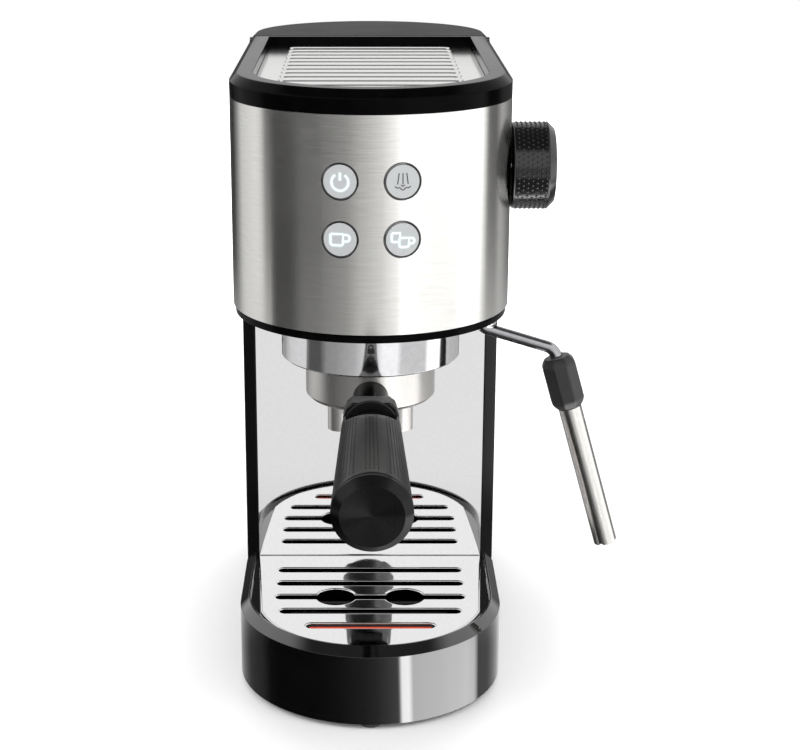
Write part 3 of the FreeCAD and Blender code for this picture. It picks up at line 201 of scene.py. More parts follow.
class Shape:
    """Points and faces that grow into one mesh."""

    def __init__(self) -> None:
        """Starts empty."""
        self.points: list[Vector] = []
        self.faces: list[Face] = []

    def add(self, points: Iterable[Sequence[float]], faces: Iterable[Face],
            place: Matrix | None = None) -> None:
        """Adds a shell of its own points and faces.

        Args:
            points: The shell's points.
            faces: Its faces, counted from its own first point.
            place: Where the shell goes, or None where its points are in place.
        """
        first = len(self.points)
        spots = [Vector(p) for p in points]
        self.points += [place @ spot for spot in spots] if place else spots
        self.faces += [tuple(first + index for index in face) for face in faces]

    def tube(self, rings: Sequence[Sequence[Sequence[float]]], place: Matrix | None = None) -> None:
        """Adds a closed solid, skinned over rings of points from end to end.

        Args:
            rings: Its rings, counterclockwise from the far end, with as many points each.
            place: Where the solid goes, or None where its points are in place.
        """
        count = len(rings[0])
        points = [spot for ring in rings for spot in ring]
        last = len(points) - count
        faces: list[Face] = [tuple(reversed(range(count))), tuple(range(last, len(points)))]
        for low in range(0, last, count):
            for k in range(count):
                after = (k + 1) % count
                faces.append((low + k, low + after, low + after + count, low + k + count))
        self.add(points, faces, place)

    def lathe(self, profile: Callable[[float], Sequence[tuple[float, float]]],
              place: Matrix) -> None:
        """Adds a closed turned solid, whose profile may change round it.

        Args:
            profile: Gives radius and height of each ring, from end to end, at an angle.
            place: Lays the turning axis.
        """
        angles = [FULL_TURN * step / TURN_STEPS for step in range(TURN_STEPS)]
        rings = [[(radius * math.cos(angle), radius * math.sin(angle), height)
                  for angle, (radius, height) in zip(angles, ring)]
                 for ring in zip(*(profile(angle) for angle in angles))]
        self.tube(rings, place)

    def prism(self, section: Stroke, rings: Sequence[tuple[float, float]], place: Matrix) -> None:
        """Adds a closed solid of one section, with a scale and a height for each of its rings."""
        self.tube([[(x * scale, y * scale, height) for x, y in section]
                   for scale, height in rings], place)

    def stud(self, width: float, rise: float, place: Matrix) -> None:
        """Adds a small square stud with sloped sides, whose place has its Z outward."""
        self.prism(STUD_SQUARE, ((width / 2, -STUD_SINK), (width * STUD_TOP, rise)), place)

    def slab(self, outline: Stroke, thick: float, lay: Lay) -> None:
        """Adds a flat or wrapped plate from its counterclockwise outline."""
        self.tube([[lay(x, y, z) for x, y in outline] for z in (0.0, thick)])

    def piece(self, name: str, smooth: bool = True) -> bpy.types.Object:
        """Makes the object, with smooth or flat faces."""
        return mesh_piece(name, self.points, self.faces, smooth)


def weld(piece: bpy.types.Object) -> None:
    """Joins a piece's points that lie on each other."""
    piece.modifiers.new("weld", "WELD").merge_threshold = 1e-6


def shade_evenly(piece: bpy.types.Object, weight: int = 80, keep_sharp: bool = False) -> None:
    """Lets a piece's wide faces shade flat up to its edges.

    Args:
        piece: The piece.
        weight: How much a wide face counts, from 1 to 100.
        keep_sharp: Whether edges marked sharp stay sharp.
    """
    normals = piece.modifiers.new("edge_shading", "WEIGHTED_NORMAL")
    normals.weight = weight
    normals.keep_sharp = keep_sharp


def soften(piece: bpy.types.Object, width: float = 0.25, segments: int = 2,
           angle: float = 35) -> None:
    """Breaks a piece's sharp edges, so that they catch the light.

    Args:
        piece: The piece, which keeps its own mesh.
        width: Width of the broken edge.
        segments: Steps across it.
        angle: Edges sharper than this, in degrees, are broken.
    """
    weld(piece)
    bevel = piece.modifiers.new("edge_break", "BEVEL")
    bevel.width = width * MM
    bevel.segments = segments
    bevel.limit_method = "ANGLE"
    bevel.angle_limit = math.radians(angle)
    bevel.use_clamp_overlap = True
    shade_evenly(piece)


def joint_point(name: str) -> Vector:
    """Gives the point that a hinge turns about, in millimetres."""
    return next(Vector(j["pos_m"]) / MM for j in frame["joints"] if j["name"] == name)


GROUP = joint_point("portafilter_turn")


# ------------------------------------------------------------------ finishes


class Grain(Enum):
    """Which way a finish's marks run."""

    EVEN = (1.0, 1.0, 1.0)
    ALONG_X = (0.02, 1.0, 1.0)
    ALONG_Z = (1.0, 1.0, 0.02)
    ROUND_Z = (0.03, 0.03, 1.0)


@dataclass(frozen=True)
class Finish:
    """A finish with a mottled colour, uneven gloss and fine relief.

    Attributes:
        name: The material's name.
        light: Colour of its lighter marks, sRGB hex.
        dark: Colour of its darker marks, sRGB hex.
        metallic: Share of metal.
        gloss: Lowest and highest roughness.
        grain_mm: Size of a mark.
        relief_mm: Depth of the marks.
        relief: Share of that depth that shows.
        smear_mm: Size of the wide, faint changes of gloss that handling leaves.
        extra: More of the shader's own values.
        grain: Which way the marks run.
    """

    name: str
    light: str
    dark: str
    metallic: float = 0.0
    gloss: tuple[float, float] = (0.3, 0.4)
    grain_mm: float = 0.8
    relief_mm: float = 0.02
    relief: float = 0.3
    smear_mm: float = 30.0
    extra: tuple[tuple[str, object], ...] = ()
    grain: Grain = Grain.EVEN

    def marks(self, tree: bpy.types.NodeTree) -> bpy.types.NodeSocket:
        """Adds the pattern of the finish's marks.

        Args:
            tree: The material's tree.

        Returns:
            The pattern, from 0 to 1.
        """
        spacing = [share / (self.grain_mm * MM) for share in self.grain.value]
        mapping = add_node(tree, "Mapping", Vector=object_place(tree), Scale=spacing)
        scaled = mapping.outputs["Vector"]
        noise = add_node(tree, "TexNoise", Vector=scaled, Scale=1.0, Detail=4.0, Roughness=0.6)
        return noise.outputs[0]

    def build(self) -> bpy.types.Material:
        """Makes the material once.

        Returns:
            The material.
        """
        made = bpy.data.materials.get(self.name)
        if made:
            return made
        made = bpy.data.materials.new(self.name)
        made.use_nodes = True
        tree = made.node_tree
        shader = tree.nodes["Principled BSDF"]
        marks = self.marks(tree)
        ramp = add_node(tree, "ValToRGB", Fac=marks)
        set_ramp(ramp, ((MARKS_FROM, linear(self.dark)), (MARKS_TO, linear(self.light))))
        tree.links.new(ramp.outputs["Color"], shader.inputs["Base Color"])
        smear = add_node(tree, "TexNoise", Vector=object_place(tree), Detail=3.0,
                         Scale=1 / (self.smear_mm * MM))
        both = add_node(tree, "Mix", {"data_type": "FLOAT"}, 0.5, None, marks, smear.outputs[0])
        rough = add_node(tree, "MapRange", Value=both.outputs[0], From_Min=MARKS_FROM,
                         From_Max=MARKS_TO, To_Min=self.gloss[0], To_Max=self.gloss[1])
        tree.links.new(rough.outputs["Result"], shader.inputs["Roughness"])
        bump = add_node(tree, "Bump", Height=marks, Strength=self.relief,
                        Distance=self.relief_mm * MM)
        tree.links.new(bump.outputs["Normal"], shader.inputs["Normal"])
        shader.inputs["Metallic"].default_value = self.metallic
        for socket, value in self.extra:
            given = linear(value) if isinstance(value, str) else value
            shader.inputs[socket].default_value = given
        self.finish_off(tree, shader)
        return made

    def finish_off(self, tree: bpy.types.NodeTree, shader: bpy.types.Node) -> None:
        """Leaves room for what a kind of finish adds of its own."""

    def on(self, piece: bpy.types.Object) -> bpy.types.Object:
        """Puts the finish on a piece, in place of what it has.

        Args:
            piece: The piece.

        Returns:
            The same piece.
        """
        piece.data.materials.clear()
        piece.data.materials.append(self.build())
        return piece


@dataclass(frozen=True)
class Brushed(Finish):
    """A metal brushed or turned round an axis, whose highlights stretch across its scratches.

    Attributes:
        centre: A point on the axis, in millimetres.
        axis: The axis.
        stretch: How far the highlights stretch.
        swing: Turn of the stretch, as a share of a full turn.
    """

    centre: Point = (0.0, 0.0, 0.0)
    axis: Point = (0.0, 0.0, 1.0)
    stretch: float = 0.8
    swing: float = 0.25

    def finish_off(self, tree: bpy.types.NodeTree, shader: bpy.types.Node) -> None:
        """Stretches the highlights.

        Args:
            tree: The material's tree.
            shader: Its shader.
        """
        centre = tuple(side * MM for side in self.centre)
        arm = add_node(tree, "VectorMath", {"operation": "SUBTRACT"}, object_place(tree), centre)
        along = add_node(tree, "VectorMath", {"operation": "CROSS_PRODUCT"}, self.axis, arm.outputs[0])
        tree.links.new(along.outputs[0], shader.inputs["Tangent"])
        shader.inputs["Anisotropic"].default_value = self.stretch
        shader.inputs["Anisotropic Rotation"].default_value = self.swing


@dataclass(frozen=True)
class TwoShot(Finish):
    """A two-shot moulding: its own colour above a height, and black below.

    Attributes:
        split: The height, in millimetres.
        blend: How far below it the colours run together.
        lower: Colour of the lower shot, sRGB hex.
    """

    split: float = 0.0
    blend: float = 0.2
    lower: str = "0A0A0A"

    def finish_off(self, tree: bpy.types.NodeTree, shader: bpy.types.Node) -> None:
        """Colours the lower shot.

        Args:
            tree: The material's tree.
            shader: Its shader.
        """
        height = add_node(tree, "SeparateXYZ", None, object_place(tree)).outputs["Z"]
        share = add_node(tree, "MapRange", Value=height, From_Min=(self.split - self.blend) * MM,
                         From_Max=self.split * MM).outputs["Result"]
        upper = shader.inputs["Base Color"].links[0].from_socket
        mix = add_node(tree, "Mix", {"data_type": "RGBA"}, share)
        colours = [socket for socket in mix.inputs if socket.type == "RGBA"]
        colours[0].default_value = linear(self.lower)
        tree.links.new(upper, colours[1])
        mixed = next(socket for socket in mix.outputs if socket.type == "RGBA")
        tree.links.new(mixed, shader.inputs["Base Color"])


@dataclass(frozen=True)
class Moulded(Finish):
    """A moulded plastic or rubber, with the round pits of its spark-eroded mould."""

    def marks(self, tree: bpy.types.NodeTree) -> bpy.types.NodeSocket:
        """Adds the pits, as a pattern from 0 to 1."""
        pits = add_node(tree, "TexVoronoi", {"feature": "SMOOTH_F1"}, Vector=object_place(tree),
                        Scale=1 / (self.grain_mm * MM), Smoothness=0.6)
        return pits.outputs["Distance"]


# Stainless sheet, brushed round the head: the scratches run level, so lights spread up and down it.
BRUSHED_WRAP = Brushed("brushed_stainless_wrap", "E0DFDC", "D4D3CF", 1.0, (0.16, 0.22), 0.35,
                       0.004, 0.12, 60.0, centre=tuple(GROUP), grain=Grain.ROUND_Z)
# Stainless sheet, pressed and mirror polished: faint polishing marks only.
POLISHED_SHEET = Finish("mirror_polished_stainless", "E3E3E3", "DFDFDF", 1.0, (0.015, 0.03), 1.4,
                        0.0005, 0.008, 40.0)
# Stainless sheet of the cup warmer, bright rolled and pressed into ridges.
PRESSED_SHEET = Finish("pressed_bright_stainless", "E4E4E2", "DADAD8", 1.0, (0.1, 0.16), 0.6,
                       0.003, 0.12, 25.0, grain=Grain.ALONG_X)
# Chromed zinc die casting of the cup: satin, with soft reflections.
SATIN_METAL = Finish("satin_chromed_casting", "CFCDCA", "C4C2BF", 1.0, (0.3, 0.37), 0.5, 0.003,
                     0.1, 30.0)
# Bright nickel and chrome plate: nearly a mirror, slightly wavy from polishing.
BRIGHT_CHROME = Finish("bright_chrome_plate", "D8D8D9", "CFCFD1", 1.0, (0.06, 0.1), 3.0, 0.006,
                       0.08, 20.0)
# Drawn stainless tube of the frother, brushed along its length.
DRAWN_TUBE = Finish("drawn_stainless_tube", "D4D2CF", "C4C2BE", 1.0, (0.18, 0.28), 0.4, 0.003,
                    0.15, 15.0, grain=Grain.ALONG_Z)
# Zinc-coated sheet: grey, with a faint spangle.
ZINC_SHEET = Finish("zinc_coated_sheet", "B4B7BB", "969A9F", 1.0, (0.35, 0.5), 4.0, 0.004, 0.1,
                    30.0)
# Zinc-plated steel screws: grey with a slight sparkle.
ZINC_SCREW = Finish("zinc_plated_screw", "B9BBBE", "8F9196", 1.0, (0.3, 0.42), 0.7, 0.006, 0.2, 6.0)
# Die-cast aluminium: pale grey and finely pebbled.
CAST_ALUMINIUM = Finish("die_cast_aluminium", "B2B3B5", "8D8E91", 1.0, (0.4, 0.55), 1.1, 0.03,
                        0.35, 20.0)
# Chromed copper pipe of the wand, painted dimmer than the cast pieces: a painted shade for the darker
# reflections along the pipe.
SHADED_PIPE_CHROME = Finish("chromed_pipe_painted_shade", "A2A2A4", "96969A", 1.0, (0.05, 0.09), 3.0, 0.004, 0.06, 20.0)
# Turned brass: warm yellow with fine tool marks.
MACHINED_BRASS = Finish("machined_brass", "C9A55C", "A98545", 1.0, (0.25, 0.38), 0.5, 0.006, 0.2,
                        15.0, grain=Grain.ALONG_X)
# High-gloss ABS: black, with the long soft ripple of a polished mould.
GLOSS_ABS = Finish("gloss_black_abs", "060606", "030303", 0.0, (0.02, 0.045), 9.0, 0.01, 0.03,
                   45.0, (("IOR", 1.5), ("Coat Weight", 1.0), ("Coat Roughness", 0.012)))
# The column's sides: the same black moulded with a thinner gloss.
COLUMN_ABS = Finish("column_black_abs", "050505", "030303", 0.0, (0.04, 0.08), 9.0, 0.02, 0.05,
                    45.0, (("IOR", 1.5), ("Specular IOR Level", 0.35)))
# The top ring's deep black, which mirrors the room only faintly.
RING_ABS = Finish("deep_black_abs", "060606", "030303", 0.0, (0.08, 0.14), 9.0, 0.02, 0.05, 45.0,
                  (("IOR", 1.5), ("Specular IOR Level", 0.025)))
# Fine-textured ABS: black without gloss.
MATTE_ABS = Moulded("matte_black_abs", "111112", "0B0B0C", 0.0, (0.45, 0.58), 0.45, 0.02, 0.35,
                    35.0, (("IOR", 1.54),))
# The tank lid's coarser texture: charcoal, and dull from every side.
LID_ABS = Moulded("charcoal_lid_abs", "131313", "0D0D0D", 0.0, (0.5, 0.62), 0.55, 0.025, 0.4, 40.0,
                  (("IOR", 1.54), ("Specular IOR Level", 0.2)))
# Nylon of the handle: black with a silky gloss.
SATIN_NYLON = Moulded("satin_black_nylon", "0F0F0F", "0A0A0A", 0.0, (0.28, 0.4), 0.4, 0.012, 0.3,
                      25.0, (("IOR", 1.53), ("Specular IOR Level", 0.3)))
# The knob's smoother nylon: its chamfer shows a fairly sharp gloss.
GLOSS_NYLON = Moulded("gloss_black_nylon", "060606", "030303", 0.0, (0.12, 0.2), 0.5, 0.008, 0.15,
                      20.0, (("IOR", 1.53),))
# Spun aluminium disc, anodised black: rings of its turning pull lights into a bow tie.
SPUN_DISC = Brushed("spun_black_aluminium", "2C2C2D", "242425", 1.0, (0.26, 0.32), 0.5, 0.003, 0.1,
                    12.0, centre=(GROUP.x, GROUP.y - 175, 158.7), axis=(0.0, -0.9987, -0.0506),
                    stretch=0.9)
# Rubber of the feet: dark grey, dull and slightly dusty.
FOOT_RUBBER = Moulded("foot_rubber", "222222", "191919", 0.0, (0.65, 0.8), 0.6, 0.04, 0.5, 10.0,
                      (("IOR", 1.52),))
# Soft rubber of the wand's grip: black, with a faint velvety sheen.
GRIP_RUBBER = Moulded("soft_grip_rubber", "171718", "0F0F10", 0.0, (0.4, 0.52), 0.4, 0.02, 0.4,
                      12.0, (("IOR", 1.52), ("Sheen Weight", 0.1)))
# Silicone of seals and mounts: brick red and waxy, light passes its edges.
SEAL_SILICONE = Moulded("red_seal_silicone", "B44A33", "9C3B27", 0.0, (0.45, 0.6), 0.8, 0.02, 0.3,
                        10.0, (("IOR", 1.41), ("Subsurface Weight", 0.1)))
# Clear silicone hose: milky, with a soft gloss.
HOSE_SILICONE = Moulded("clear_hose_silicone", "D9D7CF", "C5C2B8", 0.0, (0.3, 0.42), 2.0, 0.01,
                        0.2, 15.0, (("IOR", 1.41), ("Transmission Weight", 0.35)))
# The level float: a bright red top on a black body.
FLOAT_ABS = TwoShot("red_over_black_abs", "F0583C", "E04A30", 0.0, (0.25, 0.36), 0.6, 0.01, 0.25,
                    12.0, (("IOR", 1.54),), split=39.0)
# Acetal of small fittings: warm white, with a greasy gloss.
WHITE_POM = Moulded("white_acetal", "E6E5E0", "D5D4CE", 0.0, (0.35, 0.48), 0.7, 0.01, 0.2, 12.0,
                    (("IOR", 1.48),))
# Glass-filled nylon of the pump: dark grey, mottled by its fibres.
PUMP_NYLON = Moulded("glass_filled_nylon", "3A3B3E", "292A2D", 0.0, (0.45, 0.6), 0.9, 0.03, 0.4,
                     25.0, (("IOR", 1.53),))
# Solder lacquer of the board: green and glossy over the weave.
BOARD_LACQUER = Finish("circuit_board_lacquer", "1F7A43", "125A30", 0.0, (0.25, 0.4), 1.6, 0.02,
                       0.3, 12.0, (("IOR", 1.5),), grain=Grain.ALONG_X)
# Painted button disc: silver-grey, silk gloss, with a fine metal flake.
BUTTON_PAINT = Finish("silver_button_paint", "B0B2B3", "A6A8A9", 0.0, (0.34, 0.44), 0.25, 0.003,
                      0.15, 8.0, (("IOR", 1.5), ("Coat Weight", 0.2)))
# Polycarbonate of the tank, smoke tinted: clear enough to show the water's level.
TANK_SMOKE = Finish("smoke_polycarbonate", "5B5E62", "505357", 0.0, (0.05, 0.1), 12.0, 0.01, 0.05,
                    30.0, (("IOR", 1.585), ("Transmission Weight", 0.9)))
# Light guide behind a button's symbol, lit by a cold white diode.
LIT_SYMBOL = Finish("lit_symbol", "C8D2D4", "BCC8CA", 0.0, (0.4, 0.5), 0.6, 0.002, 0.1, 5.0,
                    (("Emission Color", "DDEFF3"), ("Emission Strength", 0.42)))
# The same light as it spreads in the disc round the symbol.
LIT_HALO = Finish("lit_halo", "A9B1B3", "9EA8AA", 0.0, (0.4, 0.5), 0.6, 0.002, 0.1, 5.0,
                  (("Emission Color", "D5E6EA"), ("Emission Strength", 0.2)))
# Ink of the unlit symbol: dark grey and dull.
SYMBOL_INK = Finish("dark_symbol_ink", "4A4B4D", "3A3B3D", 0.0, (0.5, 0.6), 0.5, 0.002, 0.1, 5.0)
# Pad print on the collar: black, with a slight gloss.
BLACK_INK = Finish("black_pad_print", "141415", "0E0E0F", 0.0, (0.35, 0.5), 0.4, 0.002, 0.1, 5.0)


def dress(finish: Finish, *nodes: str, edge: float = 0.2) -> None:
    """Gives nodes of the frame a finish and broken edges.

    Args:
        finish: The finish.
        nodes: The nodes' names.
        edge: Width of their broken edges, or 0 for none.
    """
    for name in nodes:
        node = frame["nodes"][name]
        finish.on(node)
        if edge:
            soften(node, edge)


def settle(piece: bpy.types.Object, body: str, finish: Finish, slot: str,
           *replaced: str) -> bpy.types.Object:
    """Hands a new piece to the frame.

    Args:
        piece: The piece.
        body: The body it moves with.
        finish: Its finish.
        slot: The record's material slot; not used.
        replaced: The frame's nodes that it stands for.

    Returns:
        The same piece.
    """
    finish.on(piece)
    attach(piece, body)
    if replaced:
        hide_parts(*replaced)
    log.info("%s rides on %s", piece.name, body)
    return piece


# ------------------------------------------------------------------ studio


@dataclass
class Studio:
    """Camera, light, surroundings and floor.

    Attributes:
        eye: The camera's place.
        pitch: How far the camera looks down, in degrees.
        lens: Focal length for a sensor 36 mm wide.
        shift: Sideways shift of the view, as a share of its width.
        zenith: Brightness overhead.
        ceiling: Brightness of the ceiling.
        walls: Brightness round the studio at the height that the head mirrors.
        soft_boxes: The same at the height that the collar and the cup mirror.
        gap_walls: The same lower down, where the column's foot and the handle mirror it.
        low_walls: The same at the height that the base mirrors.
        heights: Where each of those above the lowest fades in, as sines of elevation.
        floor_radius: Radius of the round floor.
    """

    eye: Point = (-3.9, -799.9, 434.2)
    pitch: float = 17.17
    lens: float = 78.12
    shift: float = 0.0463
    zenith: Walls = ((-90, 0.15), (270, 0.15))
    ceiling: Walls = ((-90, 1.4), (110, 1.4), (135, 0.95), (225, 0.95), (250, 1.4))
    walls: Walls = (
        (-90, 0.03), (-80, 0.01), (-70, 0.02), (-58, 0.05), (-45, 0.06), (-20, 0.22), (-5, 0.5),
        (8, 0.85), (16, 1.2), (28, 1.8), (55, 1.65), (70, 1.75), (100, 2.0), (110, 0.1), (122, 0.1),
        (132, 0.5), (150, 0.2), (180, 0.1), (210, 0.03), (220, 0.25), (230, 0.75), (254, 1.0),
        (260, 0.85), (266, 0.08))
    soft_boxes: Walls = (
        (-90, 0.35), (-84, 0.12), (-68, 0.12), (-58, 0.38), (-45, 0.42), (-20, 0.62), (-7, 0.95),
        (8, 1.0), (16, 1.4), (34, 1.4), (40, 0.85), (74, 0.85), (82, 2.2), (94, 2.2), (104, 0.8),
        (160, 0.5), (215, 0.4), (235, 0.85), (256, 0.95))
    gap_walls: Walls = (
        (-90, 0.04), (-20, 0.2), (-7, 0.9), (8, 0.95), (20, 0.3), (84, 0.3), (98, 1.0), (180, 0.8),
        (228, 0.6), (262, 0.1))
    low_walls: Walls = (
        (-90, 0.01), (-45, 0.02), (-28, 0.045), (-6, 0.13), (5, 0.21), (16, 0.4), (25, 0.6), (28, 10),
        (34, 10.5), (38, 5.2), (50, 5.3), (75, 5), (94, 4.2), (105, 3.0), (111, 0.3), (127, 0.22),
        (166, 0.7), (180, 0.5), (228, 0.11), (250, 0.1), (262, 0.02))
    heights: tuple[tuple[float, float], ...] = (
        (-0.44, -0.4), (-0.37, -0.34), (-0.262, -0.235), (-0.02, 0.14), (0.68, 0.8))
    floor_radius: float = 2500.0

    def camera(self) -> None:
        """Sets the camera up."""
        data = bpy.data.cameras.new("camera")
        data.lens = self.lens
        data.sensor_width = 36
        data.shift_x = self.shift
        data.clip_end = 20
        camera = add_object("camera", data)
        camera.location = Vector(self.eye) * MM
        camera.rotation_euler = (math.radians(90 - self.pitch), 0, 0)
        bpy.context.scene.camera = camera

    def light(self, name: str, place: Point, size: tuple[float, float], power: float,
              aim: Point) -> None:
        """Adds a soft box.

        Args:
            name: The light's name.
            place: Its place.
            size: Its width and height.
            power: Its power in watts.
            aim: The point that it faces.
        """
        data = bpy.data.lights.new(name, "AREA")
        data.shape = "RECTANGLE"
        data.size, data.size_y = (side * MM for side in size)
        data.energy = power
        lamp = add_object(name, data)
        lamp.location = Vector(place) * MM
        ahead = Vector(aim) * MM - lamp.location
        lamp.rotation_euler = ahead.to_track_quat("-Z", "Y").to_euler()
        lamp.visible_glossy = False

    def ring(self, tree: bpy.types.NodeTree, bearing: bpy.types.NodeSocket,
             stops: Walls) -> bpy.types.NodeSocket:
        """Adds the brightness round the studio at one height.

        Args:
            tree: The world's tree.
            bearing: Share of a turn round the studio.
            stops: The brightness at each bearing.

        Returns:
            The brightness.
        """
        most = max(shade for _, shade in stops)
        ramp = add_node(tree, "ValToRGB", Fac=bearing)
        set_ramp(ramp, [(0.25 + way / 360, (shade / most,) * 3 + (1,)) for way, shade in stops])
        scaled = add_node(tree, "Math", {"operation": "MULTIPLY"}, ramp.outputs["Color"], most)
        return scaled.outputs[0]

    def surroundings(self) -> None:
        """Makes the studio that the metal mirrors: bright walls with dark gaps between them."""
        world = bpy.data.worlds.new("studio")
        world.use_nodes = True
        bpy.context.scene.world = world
        tree = world.node_tree
        tree.nodes.clear()
        way = add_node(tree, "TexCoord").outputs["Generated"]
        round_it = add_node(tree, "TexGradient", {"gradient_type": "RADIAL"}, Vector=way)
        bearing = round_it.outputs["Fac"]
        height = add_node(tree, "SeparateXYZ", Vector=way).outputs["Z"]
        shade = self.ring(tree, bearing, self.low_walls)
        upper = (self.gap_walls, self.soft_boxes, self.walls, self.ceiling, self.zenith)
        for stops, (low, high) in zip(upper, self.heights):
            share = add_node(tree, "MapRange", {"interpolation_type": "SMOOTHSTEP"}, Value=height,
                             From_Min=low, From_Max=high)
            above = self.ring(tree, bearing, stops)
            shade = add_node(tree, "Mix", {"data_type": "FLOAT"}, share.outputs["Result"], None,
                             shade, above).outputs[0]
        mirrored = add_node(tree, "Background", Color=shade, Strength=1.0)
        seen = add_node(tree, "Background", Color=(1, 1, 1, 1), Strength=1.0)
        ray = add_node(tree, "LightPath").outputs["Is Camera Ray"]
        both = add_node(tree, "MixShader", None, ray, mirrored.outputs[0], seen.outputs[0])
        out = add_node(tree, "OutputWorld", Surface=both.outputs[0])
        out.is_active_output = True

    def floor(self) -> None:
        """Lays the pale floor."""
        turn = arc_stroke(0, 0, self.floor_radius, 0, 360, TURN_STEPS)
        rim = [(x, y, 0.0) for x, y in turn[:-1]]
        floor = mesh_piece("floor", rim, [tuple(range(len(rim)))], smooth=False)
        paint = Finish("pale_floor_paint", "FAFAFA", "F8F8F8", 0.0, (0.7, 0.8), 40.0, 0.01, 0.02, 300.0)
        paint.on(floor)
        floor.visible_glossy = False

    def build(self) -> None:
        """Builds the studio."""
        bpy.context.scene.view_settings.view_transform = "Standard"
        self.camera()
        middle = (GROUP.x, GROUP.y + 50, 160)
        self.light("key_box", (900, -900, 1500), (1400, 900), 11, middle)
        self.light("fill_box", (-1100, -600, 1300), (1200, 900), 8, middle)
        self.light("back_box", (0, 1300, 1400), (1600, 800), 10, middle)
        self.light("far_box", (0, 2300, 1300), (4200, 1400), 90, (0, 2300, 0))
        self.surroundings()
        self.floor()
        log.info("studio ready")


def arc_stroke(x: float, y: float, radius: float, start: float, end: float,
               steps: int = 20) -> Stroke:
    """Gives the points of an arc about a centre, between two angles in degrees from the right."""
    angles = [math.radians(start + (end - start) * k / steps) for k in range(steps + 1)]
    return [(x + radius * math.cos(a), y + radius * math.sin(a)) for a in angles]


# ------------------------------------------------------------------ base and column


@dataclass
class DripPlate:
    """The mirror-polished plate, with rolled edges round its slots and drains.

    Attributes:
        waist: Half its width at the front end of its sides.
        waist_y: From the group's axis forward to that place.
        bow_y: From the group's axis forward to the centre of the round front.
        slot_halves: Half length of each slot, from the back.
        slot_width: Width of a slot.
        slot_first: From the plate's back edge to the first slot's middle.
        slot_pitch: From slot to slot.
        drain_at: Which slot the drains sit in.
        drain_spread: From the middle to a drain's centre.
        drain_radius: Radius of a drain.
        roll: Width of the rolled edges.
    """

    waist: float = 58.1
    waist_y: float = 20.0
    bow_y: float = 2.0
    slot_halves: tuple[float, ...] = (51.0, 51.0, 51.0, 48.0, 33.5)
    slot_width: float = 6.0
    slot_first: float = 20.2
    slot_pitch: float = 18.0
    drain_at: int = 2
    drain_spread: float = 18.5
    drain_radius: float = 10.5
    roll: float = 1.05

    def rim(self, back: float, half: float) -> Stroke:
        """Gives the plate's outline, inside its rolled edge.

        Args:
            back: Its back edge.
            half: Half its width at the back.

        Returns:
            The outline.
        """
        waist_y = GROUP.y - self.waist_y
        bow_y = GROUP.y - self.bow_y
        radius = math.hypot(self.waist, bow_y - waist_y) - self.roll
        lean = math.degrees(math.atan2(bow_y - waist_y, self.waist))
        bow = arc_stroke(0, bow_y, radius, 180 + lean, 360 - lean, TURN_STEPS)
        return bow + [(half - self.roll, back - self.roll), (self.roll - half, back - self.roll)]

    def slot(self, y: float, half_length: float, drains: bool) -> Stroke:
        """Gives a slot's outline, outside its rolled edge.

        Args:
            y: Its middle.
            half_length: Half its length.
            drains: Whether the two drains widen it.

        Returns:
            The outline.
        """
        nose = self.slot_width / 2 + self.roll
        reach = half_length - self.slot_width / 2
        right = arc_stroke(reach, y, nose, -90, 90, 14)
        if not drains:
            return right + [(-x, 2 * y - z) for x, z in right]
        radius = self.drain_radius + self.roll
        lean = math.degrees(math.asin(nose / radius))
        upper = [spot for side in (1, -1)
                 for spot in arc_stroke(side * self.drain_spread, y, radius, lean, 180 - lean, 28)]
        half = right + upper
        return half + [(-x, 2 * y - z) for x, z in half]

    def fill(self, outlines: Sequence[Stroke]) -> bpy.types.Mesh:
        """Fills the plate inside its outlines and rolls its edges.

        Args:
            outlines: The rim and the slots.

        Returns:
            The plate's mesh, as thick as its rolled edges, about its own middle.
        """
        curve = bpy.data.curves.new("drip_plate_outline", "CURVE")
        curve.dimensions = "2D"
        curve.fill_mode = "BOTH"
        curve.bevel_depth = self.roll * MM
        curve.bevel_resolution = 3
        for outline in outlines:
            spline = curve.splines.new("POLY")
            spline.points.add(len(outline) - 1)
            spline.use_cyclic_u = True
            for point, (x, y) in zip(spline.points, outline):
                point.co = (x * MM, y * MM, 0, 1)
        drawn = add_object("drip_plate_outline", curve)
        bpy.context.view_layer.update()
        final = drawn.evaluated_get(bpy.context.evaluated_depsgraph_get())
        mesh = bpy.data.meshes.new_from_object(final)
        bpy.data.objects.remove(drawn)
        return mesh

    def build(self) -> None:
        """Builds the plate in place of the frame's plain one."""
        low, high = node_box("drip_grid")
        outlines = [self.rim(high.y, high.x)]
        for index, half_length in enumerate(self.slot_halves):
            y = high.y - self.slot_first - index * self.slot_pitch
            outlines.append(self.slot(y, half_length, index == self.drain_at))
        mesh = self.fill(outlines)
        flatten = Matrix.Diagonal((1, 1, (high.z - low.z) / 2 / self.roll, 1))
        mesh.transform(Matrix.Translation((0, 0, (low.z + high.z) / 2 * MM)) @ flatten)
        mesh.name = "drip_plate_polished"
        mesh.polygons.foreach_set("use_smooth", [True] * len(mesh.polygons))
        plate = add_object("drip_plate_polished", mesh)
        weld(plate)
        shade_evenly(plate, 100)
        settle(plate, "drip_grid", POLISHED_SHEET, "polished_steel", "drip_grid")


@dataclass
class Base:
    """Drip tray, plate, float, feet and bottom plate."""

    plate: DripPlate = field(default_factory=DripPlate)

    def build(self) -> None:
        """Builds the plate and dresses the base."""
        self.plate.build()
        dress(GLOSS_ABS, "drip_tray", edge=0.6)
        dress(FLOAT_ABS, "tray_float")
        dress(FOOT_RUBBER, "rubber_feet", edge=0.5)
        dress(MATTE_ABS, "base_plate")
        dress(ZINC_SCREW, "base_screws")
        log.info("base dressed")


